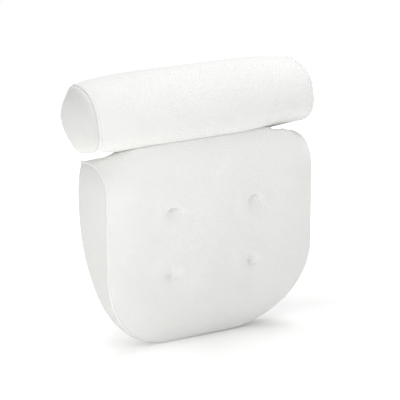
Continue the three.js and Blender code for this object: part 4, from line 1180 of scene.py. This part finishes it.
def under_roll(pad, roll, sheet):
    """Swells the top of the pad up against the roll's underside, and keeps it below that."""
    x, y, z = np.moveaxis(sheet, -1, 0)
    front = pad.top_run + pad.shoulder - pad.bottom_depth / 2 + 0.5 * pad.front_crown
    back = mix(SWELL_BACK, SWELL_BACK_RIGHT, smooth((x - SWELL_TURN) / SWELL_TURN_RUN))
    rise = smooth((y + front) / SWELL_FRONT_RUN) * smooth((back - y) / SWELL_BACK_RUN)
    rise = rise * smooth((z - 0.5 * pad.corner_height) / SWELL_DOWN_RUN)
    right = smooth(x / SWELL_RIGHT_RUN)
    half, fade = pad.fill_half + SWELL_WIDER * right, pad.fill_fade - SWELL_SHORTER * right
    rise = rise * smooth((half - np.abs(x)) / fade)
    depth, height = roll_local(roll, sheet + np.array([0, 0, 1]) * (pad.top_fill * rise)[..., None])
    reach = roll.front_depth + roll.front_swell
    below = (depth > UNDER_START) & (depth < reach) & (np.abs(x) < roll.length / 2)
    lower = PAD_LOWER * smooth((x - PART_PLACE) / PAD_PART_RUN)
    limit = roll_under(roll, x, depth) - SWELL_GAP - lower
    limit = limit - NOTCH_DEPTH * np.exp(-((x - NOTCH_PLACE) / NOTCH_WIDTH) ** 2)
    pressed = limit - SWELL_SOFT * np.logaddexp(0.0, (limit - height) / SWELL_SOFT)
    return roll_place(roll, x, depth, np.where(below, pressed, height))


def eyelet_hole(sheet, spots, up, radius):
    """Which cells stay round the eyelets, with the points at a hole's rim drawn onto its circle.

    up gives each point's height in the plane of the spots.
    """
    keep = np.ones((sheet.shape[0] - 1, sheet.shape[1] - 1), bool)
    for x, height in spots:
        far = np.hypot(sheet[..., 0] - x, up - height)
        inside = far < radius
        cells = inside[:-1, :-1] | inside[1:, :-1] | inside[1:, 1:] | inside[:-1, 1:]
        rim = np.zeros_like(inside)
        for a, b in ((0, 0), (1, 0), (1, 1), (0, 1)):
            rim[a:a + cells.shape[0], b:b + cells.shape[1]] |= cells
        rim &= ~inside
        keep &= ~cells
        pull = radius / far[rim]
        sheet[rim, 0] = x + (sheet[rim, 0] - x) * pull
        sheet[rim, 2] += (up[rim] - height) * (pull - 1)
    return keep


def place_on_back(piece, node, pad, roll):
    """Puts a cup or an eyelet where its node is, on the back of the pad or of the roll."""
    x, _, height = node_middle(node)
    if node.startswith("pad"):
        piece.location = (x, pad.bottom_depth / 2 + pad.back_bulge, height)
    else:
        piece.location = roll_place(roll, x, -roll.cup_face, roll.cup_height)
        piece.rotation_euler = (-roll.lean, 0, 0)


# Operators


class BATHPILLOW_OT_stage(bpy.types.Operator):
    """Set up the camera, the lights and the white floor"""

    bl_idname = "bathpillow.stage"
    bl_label = "Stage"

    def execute(self, context):
        scene, stage = context.scene, context.scene.bath_stage
        camera = bpy.data.objects.new("camera", bpy.data.cameras.new("camera"))
        scene.collection.objects.link(camera)
        e, a = stage.elevation, stage.azimuth
        back = Vector((math.sin(a) * math.cos(e), -math.cos(a) * math.cos(e), math.sin(e)))
        camera.location = Vector(stage.aim) + back * stage.distance
        camera.rotation_euler = (-back).to_track_quat("-Z", "Y").to_euler()
        camera.data.angle = stage.view_angle
        camera.data.clip_end = 200.0
        scene.camera = camera
        scene.view_settings.view_transform = "Standard"
        self.sky(scene, stage)
        for name, size, place in LAMPS:
            self.lamp(scene, name, getattr(stage, name), size, place)
        self.floor(scene, stage)
        return {"FINISHED"}

    def sky(self, scene, stage):
        """A white background, and an even light that is weaker than it looks to the camera."""
        world = bpy.data.worlds.new("studio")
        world.use_nodes = True
        nodes, links = world.node_tree.nodes, world.node_tree.links
        nodes.clear()
        output, blend = nodes.new("ShaderNodeOutputWorld"), nodes.new("ShaderNodeMixShader")
        for socket, strength in ((1, stage.sky), (2, 1.0)):
            background = nodes.new("ShaderNodeBackground")
            background.inputs["Color"].default_value = (1.0, 1.0, 1.0, 1.0)
            background.inputs["Strength"].default_value = strength
            links.new(background.outputs[0], blend.inputs[socket])
        links.new(nodes.new("ShaderNodeLightPath").outputs["Is Camera Ray"], blend.inputs[0])
        links.new(blend.outputs[0], output.inputs["Surface"])
        scene.world = world

    def lamp(self, scene, name, watts, size, place):
        data = bpy.data.lights.new(name, "AREA")
        data.energy, data.shape, data.size = watts, "SQUARE", size
        lamp = bpy.data.objects.new(name, data)
        lamp.location = place
        lamp.visible_camera = False
        lamp.rotation_euler = (LAMP_AIM - lamp.location).to_track_quat("-Z", "Y").to_euler()
        scene.collection.objects.link(lamp)

    def floor(self, scene, stage):
        """A floor that glows more further off, so that it ends in white."""
        turns = ((-1, -1), (1, -1), (1, 1), (-1, 1))
        corners = [(x * FLOOR_HALF, y * FLOOR_HALF, FLOOR_HEIGHT) for x, y in turns]
        floor = new_piece("floor", corners, [(0, 1, 2, 3)])
        finish = Finish(
            "floor", Roughness=0.9, Specular_IOR_Level=0.1,
            Base_Color=(*scene.bath_finishes.floor, 1.0), Emission_Color=(1.0, 0.99, 0.97, 1.0),
        )
        place = finish.solid_place(1.0, GLOW_SHIFT)
        distance = finish.node("VectorMath", {"operation": "LENGTH"}, Vector=place).outputs["Value"]
        glow = finish.ramp(distance, stage.floor_glow, stage.far_glow, GLOW_NEAR, GLOW_FAR)
        finish.put(finish.shader, Emission_Strength=glow)
        floor.data.materials.append(finish.material)


class BATHPILLOW_OT_pad_cushion(bpy.types.Operator):
    """Make the pad: its tufted front cover, its side band and its back panel"""

    bl_idname = "bathpillow.pad_cushion"
    bl_label = "Pad cushion"

    def execute(self, context):
        scene = context.scene
        pad, roll, trim = scene.bath_pad, scene.bath_roll, scene.bath_trim
        front, gusset, back = self.shapes(pad, trim)
        self.front_cover(pad, roll, trim, front)
        self.side_band(trim, gusset)
        self.back_panel(roll, trim, back)
        return {"FINISHED"}

    def shapes(self, pad, trim):
        """The three panels, filled by the cloth run to the crown that the sizes give."""
        full = [pad_front(pad, 1.0), pad_gusset(pad, 1.0), pad_back(pad)]
        slack = [pad_front(pad, START_FILL), pad_gusset(pad, START_FILL), pad_back(pad)]
        pins = [border(panel) for panel in slack]
        for k in (0, 2):
            pins[k] |= self.tuft_distance(pad, slack[k]) < TUFT_HOLD
        pins[1] |= slack[1][..., 2] < FLOOR_HOLD
        pins[2] |= self.free(trim, slack[2]) < 0.5
        found = []
        for before, after, move, most in zip(slack, full, filled(slack, pins), PAD_MOST):
            normals = sheet_normals(before)
            wanted = ((after - before) * normals).sum(-1).mean()
            given = (move * normals).sum(-1).mean()
            scale = wanted / given if wanted > 1e-5 and given > 1e-6 else FLAT_SCALE
            found.append(before + capped(move * min(scale, MOST_SCALE), most))
        tuft_free = smooth((self.tuft_distance(pad, full[0]) - TUFT_OWN) / TUFT_OWN_RUN)
        found[0] = mix(full[0], found[0], tuft_free[..., None])
        found[2] = mix(full[2], found[2], self.free(trim, full[2])[..., None])
        for panel in found:
            above_floor(panel)
        return found

    def tuft_distance(self, pad, sheet):
        return spot_distance(sheet[..., 0], sheet[..., 2], tuft_spots(pad))

    def free(self, trim, sheet):
        return eyelet_free(trim, spot_distance(sheet[..., 0], sheet[..., 2], pad_eyelets()))

    def front_cover(self, pad, roll, trim, sheet):
        depth = lumps(sheet, depth=0.0007, wave=0.075, seed=11) * within(sheet, width=0.012)
        sides = (LAST_ROW, FIRST_COLUMN, LAST_COLUMN)
        depth = depth + puckers(sheet, sides, depth=0.0006, wave=0.017, reach=0.007, seed=21)
        depth = depth + puckers(sheet, (FIRST_ROW,), depth=0.0004, wave=0.02, reach=0.006, seed=31)
        sheet = under_roll(pad, roll, raised(sheet, depth - soft_folds(pad, sheet)))
        above_floor(sheet)
        part_seam(sheet, 0, roll, trim, -1)
        set_back(sheet, sides, trim.setback)
        nodes, cloth = ("pad_front_cover", "pad_fill"), pad_front_plain(pad)
        padded_panel("front_cover", sheet, "pad", "air_mesh", nodes, cloth=cloth)

    def side_band(self, trim, sheet):
        depth = puckers(sheet, (FIRST_COLUMN,), depth=0.0004, wave=0.016, reach=0.006, seed=41)
        depth += puckers(sheet, (LAST_COLUMN,), depth=0.0003, wave=0.018, reach=0.006, seed=51)
        sheet = raised(sheet, depth * smooth((sheet[..., 2] - FLOOR_FLAT) / FLOOR_FLAT_RUN))
        set_back(sheet, (FIRST_COLUMN,), trim.setback)
        padded_panel("side_band", sheet, "pad", "plain_cloth", ("pad_gusset",))

    def back_panel(self, roll, trim, sheet):
        depth = puckers(sheet, range(4), depth=0.0004, wave=0.018, reach=0.006, seed=61)
        depth += lumps(sheet, depth=0.0006, wave=0.08, seed=71)
        sheet = raised(sheet, depth * self.free(trim, sheet) * within(sheet, width=0.004))
        part_seam(sheet, 0, roll, trim, 1)
        keep = eyelet_hole(sheet, pad_eyelets(), sheet[..., 2], trim.eyelet_hole)
        nodes = ("pad_back_panel",)
        padded_panel("back_panel", sheet, "pad", "plain_cloth", nodes, keep=keep)


class BATHPILLOW_OT_pad_trim(bpy.types.Operator):
    """Make the pad's piping and its four tufts"""

    bl_idname = "bathpillow.pad_trim"
    bl_label = "Pad piping and tufts"

    def execute(self, context):
        pad, trim = context.scene.bath_pad, context.scene.bath_trim
        front, back, _ = pad_loops(pad)
        path = front - trim.sunk * (band_outward(front, front, back) - np.array([0, 1, 0]))
        path[:, 2] = np.maximum(path[:, 2], trim.piping + PIPING_UP)
        piping = tube("front_piping", path, trim.piping)
        dress(piping, "pad", "piping", "pad_front_piping")
        for tuft_number, (x, height) in enumerate(tuft_spots(pad), 1):
            self.tuft(trim, tuft_number, x, height)
        return {"FINISHED"}

    def tuft(self, trim, tuft_number, x, height):
        """A thread through the pad, with a flat wound knot at each end."""
        node = f"tuft_thread_{tuft_number}"
        low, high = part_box(node)
        half, knot, thread, thick = (high[1] - low[1]) / 2, trim.knot, trim.thread, KNOT_THICKNESS
        outline = [
            (0, half), (0.45 * knot, half - 0.0001), (0.85 * knot, half - 0.25 * thick),
            (knot, half - 0.5 * thick), (0.85 * knot, half - 0.8 * thick),
            (1.4 * thread, half - thick), (thread, half - 1.4 * thick),
        ]
        outline += [(radius, -depth) for radius, depth in outline[::-1]]
        piece = turned(f"tuft_{tuft_number}", np.array(outline), KNOT_SIDES)
        for vertex in piece.data.vertices:
            angle = math.atan2(vertex.co.z, vertex.co.x)
            radius = math.hypot(vertex.co.x, vertex.co.z)
            if radius > 1.5 * thread:
                swell = 1 + LAY_HEIGHT * math.sin(KNOT_LAYS * angle + LAY_SLANT * radius)
                vertex.co.x *= swell
                vertex.co.z *= swell
        piece.location = (x, (low[1] + high[1]) / 2, height)
        dress(piece, "pad", "tuft_thread", node)


class BATHPILLOW_OT_neck_roll(bpy.types.Operator):
    """Make the neck roll: its front cover, its back panel and its two domed ends"""

    bl_idname = "bathpillow.neck_roll"
    bl_label = "Neck roll"

    def execute(self, context):
        roll, trim = context.scene.bath_roll, context.scene.bath_trim
        front, back = roll_front(roll), roll_back(roll, trim)
        domes = ((-1, roll.left_dome), (1, roll.right_dome))
        panels = [front, back, *(roll_end(front, back, side, dome) for side, dome in domes)]
        panels = self.fill(roll, trim, panels)
        self.front_cover(roll, trim, panels[0])
        self.back_panel(roll, trim, panels[1])
        for name, side, sheet in zip(("left", "right"), (-1, 1), panels[2:]):
            self.end(trim, name, side, sheet)
        return {"FINISHED"}

    def free(self, roll, trim, sheet):
        height = roll_local(roll, sheet)[1]
        return eyelet_free(trim, spot_distance(sheet[..., 0], height, roll_eyelets(roll)))

    def fill(self, roll, trim, panels):
        """The panels with the folds of the cloth run, but no more swell than the sizes give."""
        pins = [border(sheet) for sheet in panels]
        for pin, tip in ((pins[2], -1), (pins[3], 0)):
            pin[tip] = pin[:, 0] = pin[:, -1] = False
        free = self.free(roll, trim, panels[1])
        pins[1] |= free < 0.5
        found = []
        for sheet, move in zip(panels, filled(panels, pins)):
            normals = sheet_normals(sheet)
            out = (move * normals).sum(-1, keepdims=True)
            found.append(sheet + capped(ROLL_SCALE * (move - normals * out.mean()), ROLL_MOST))
        found[1] = mix(panels[1], found[1], free[..., None])
        return found

    def front_cover(self, roll, trim, sheet):
        ends = (FIRST_COLUMN, LAST_COLUMN)
        depth = lumps(sheet, depth=0.0007, wave=0.085, seed=81) * within(sheet, width=0.015)
        depth = depth + puckers(sheet, ends, depth=0.0006, wave=0.016, reach=0.008, seed=91)
        sheet = raised(sheet, depth)
        x, (place, height) = sheet[..., 0], roll_local(roll, sheet)
        foremost = PRESSED_SHARE * roll.front_depth
        below = (place > UNDER_START) & (place < foremost) & (height < roll.nose)
        pressed = smooth((foremost - place) / PRESSED_RUN)
        pressed = pressed * smooth((PRESSED_HALF - np.abs(x)) / PRESSED_END_RUN)
        floor = roll_under(roll, x, place)
        height = np.where(below, mix(np.maximum(height, floor), floor, pressed), height)
        sheet = roll_place(roll, x, place, height)
        part_seam(sheet, -1, roll, trim, -1)
        set_back(sheet, ends, trim.setback)
        nodes = ("roll_front_cover", "roll_fill")
        padded_panel("roll_cover", sheet, "neck_roll", "air_mesh", nodes)

    def back_panel(self, roll, trim, sheet):
        depth = puckers(sheet, range(4), depth=0.0004, wave=0.018, reach=0.006, seed=101)
        depth += lumps(sheet, depth=0.0005, wave=0.07, seed=111)
        sheet = raised(sheet, depth * self.free(roll, trim, sheet) * within(sheet, width=0.004))
        part_seam(sheet, 0, roll, trim, 1)
        height = roll_local(roll, sheet)[1]
        keep = eyelet_hole(sheet, roll_eyelets(roll), height, trim.eyelet_hole)
        nodes = ("roll_back_panel",)
        padded_panel("roll_back", sheet, "neck_roll", "plain_cloth", nodes, keep=keep)

    def end(self, trim, name, side, sheet):
        """A domed end. Its rim is set back only along the front, where the piping runs."""
        edge = LAST_ROW if side > 0 else FIRST_ROW
        depth = puckers(sheet, (edge,), depth=0.0005, wave=0.014, reach=0.007, seed=121 + side)
        sheet = raised(sheet, depth)
        middle, rim = (sheet[0], sheet[-1]) if side > 0 else (sheet[-1], sheet[0])
        middle[:] = middle.mean(0)
        sheet[:, -1] = sheet[:, 0]
        unpiped = rim[ROLL_ROWS + 1:].copy()
        set_back(sheet, (edge,), trim.setback)
        rim[ROLL_ROWS + 1:] = unpiped
        nodes = (f"roll_{name}_end",)
        padded_panel(f"roll_{name}_cap", sheet, "neck_roll", "plain_cloth", nodes)


class BATHPILLOW_OT_roll_trim(bpy.types.Operator):
    """Make the piping round the front of the roll's two ends"""

    bl_idname = "bathpillow.roll_trim"
    bl_label = "Roll piping"

    def execute(self, context):
        trim, front = context.scene.bath_trim, roll_front(context.scene.bath_roll)
        for name, column, side in (("left", 0, -1), ("right", -1, 1)):
            path = front[:, column]
            outward = unit(path - path.mean(0))
            outward[:, 0] = -WELT_OUT * side
            piping = tube(f"roll_{name}_welt", path - trim.sunk * outward, trim.piping)
            dress(piping, "neck_roll", "piping", f"roll_{name}_piping")
        return {"FINISHED"}


class BATHPILLOW_OT_hinge_strip(bpy.types.Operator):
    """Make the cloth strip that the roll folds on"""

    bl_idname = "bathpillow.hinge_strip"
    bl_label = "Hinge strip"

    def execute(self, context):
        scene = context.scene
        pad, roll, trim = scene.bath_pad, scene.bath_roll, scene.bath_trim
        seam = pad.corner_height + pad.top_rise
        foot, upper = seam - trim.strip_sewn, roll.seam_up + trim.strip_sewn
        path = [(0.0, h) for h in np.linspace(foot - HINGE[2], 0, STRIP_BELOW)]
        lean = np.array([math.sin(roll.lean), math.cos(roll.lean)])
        path = np.array(path + [h * lean for h in np.linspace(0, upper, STRIP_ABOVE)[1:]])
        sheet = stacked(
            np.linspace(-roll.strip_half, roll.strip_half, STRIP_ACROSS),
            path[:, 0, None] + HINGE[1] - trim.strip_thickness / 2, path[:, 1, None] + HINGE[2],
        )[::-1].copy()
        piece = cover("hinge_web", sheet, trim.strip_thickness)
        dress(piece, None, "plain_cloth", "hinge_strip")
        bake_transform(piece)
        return {"FINISHED"}


class BATHPILLOW_OT_suction_cups(bpy.types.Operator):
    """Make the six suction cups"""

    bl_idname = "bathpillow.suction_cups"
    bl_label = "Suction cups"

    def execute(self, context):
        scene, lip = context.scene, context.scene.bath_trim.cup_radius
        radii = {"lip": lip * 1000, "rim": (lip - CUP_LIP_WIDTH) * 1000}
        outline = rounded_outline([(radii.get(r, r), *rest) for r, *rest in CUP_CORNERS], CUP_STEPS)
        for node in nodes_with("suction_cup"):
            where, *_, count = node.split("_")
            piece = turned(f"{where}_cup_{count}_vinyl", outline, CUP_SIDES)
            place_on_back(piece, node, scene.bath_pad, scene.bath_roll)
            dress(piece, f"{where}_cup_{count}", "clear_vinyl", node)
        return {"FINISHED"}


class BATHPILLOW_OT_eyelets(bpy.types.Operator):
    """Make the six eyelets that hold the cups"""

    bl_idname = "bathpillow.eyelets"
    bl_label = "Eyelets"

    def execute(self, context):
        scene = context.scene
        outline = rounded_outline(EYELET_CORNERS, EYELET_STEPS)
        for node in nodes_with("eyelet"):
            where, _, count = node.split("_")
            piece = turned(f"{where}_ring_{count}", outline, EYELET_SIDES, closed=True)
            place_on_back(piece, node, scene.bath_pad, scene.bath_roll)
            dress(piece, "pad" if where == "pad" else "neck_roll", "white_plastic", node)
        return {"FINISHED"}


OPERATORS = (
    BATHPILLOW_OT_stage,
    BATHPILLOW_OT_pad_cushion,
    BATHPILLOW_OT_pad_trim,
    BATHPILLOW_OT_neck_roll,
    BATHPILLOW_OT_roll_trim,
    BATHPILLOW_OT_hinge_strip,
    BATHPILLOW_OT_suction_cups,
    BATHPILLOW_OT_eyelets,
)
GROUPS = {
    "bath_pad": PadSizes,
    "bath_roll": RollSizes,
    "bath_trim": TrimSizes,
    "bath_finishes": Finishes,
    "bath_stage": StageSettings,
}


class BATHPILLOW_PT_panel(bpy.types.Panel):
    """Lists the steps that build the pillow"""

    bl_idname = "BATHPILLOW_PT_panel"
    bl_label = "Bath pillow"
    bl_space_type = "VIEW_3D"
    bl_region_type = "UI"
    bl_category = "Bath pillow"

    def draw(self, context):
        for operator in OPERATORS:
            self.layout.operator(operator.bl_idname)


CLASSES = (*GROUPS.values(), *OPERATORS, BATHPILLOW_PT_panel)


def register():
    for made in CLASSES:
        bpy.utils.register_class(made)
    for name, group in GROUPS.items():
        setattr(bpy.types.Scene, name, PointerProperty(type=group))


def unregister():
    for name in GROUPS:
        delattr(bpy.types.Scene, name)
    for made in reversed(CLASSES):
        bpy.utils.unregister_class(made)


def main():
    register()
    for operator in OPERATORS:
        group, name = operator.bl_idname.split(".")
        getattr(getattr(bpy.ops, group), name)()


if __name__ == "__main__":
    main()
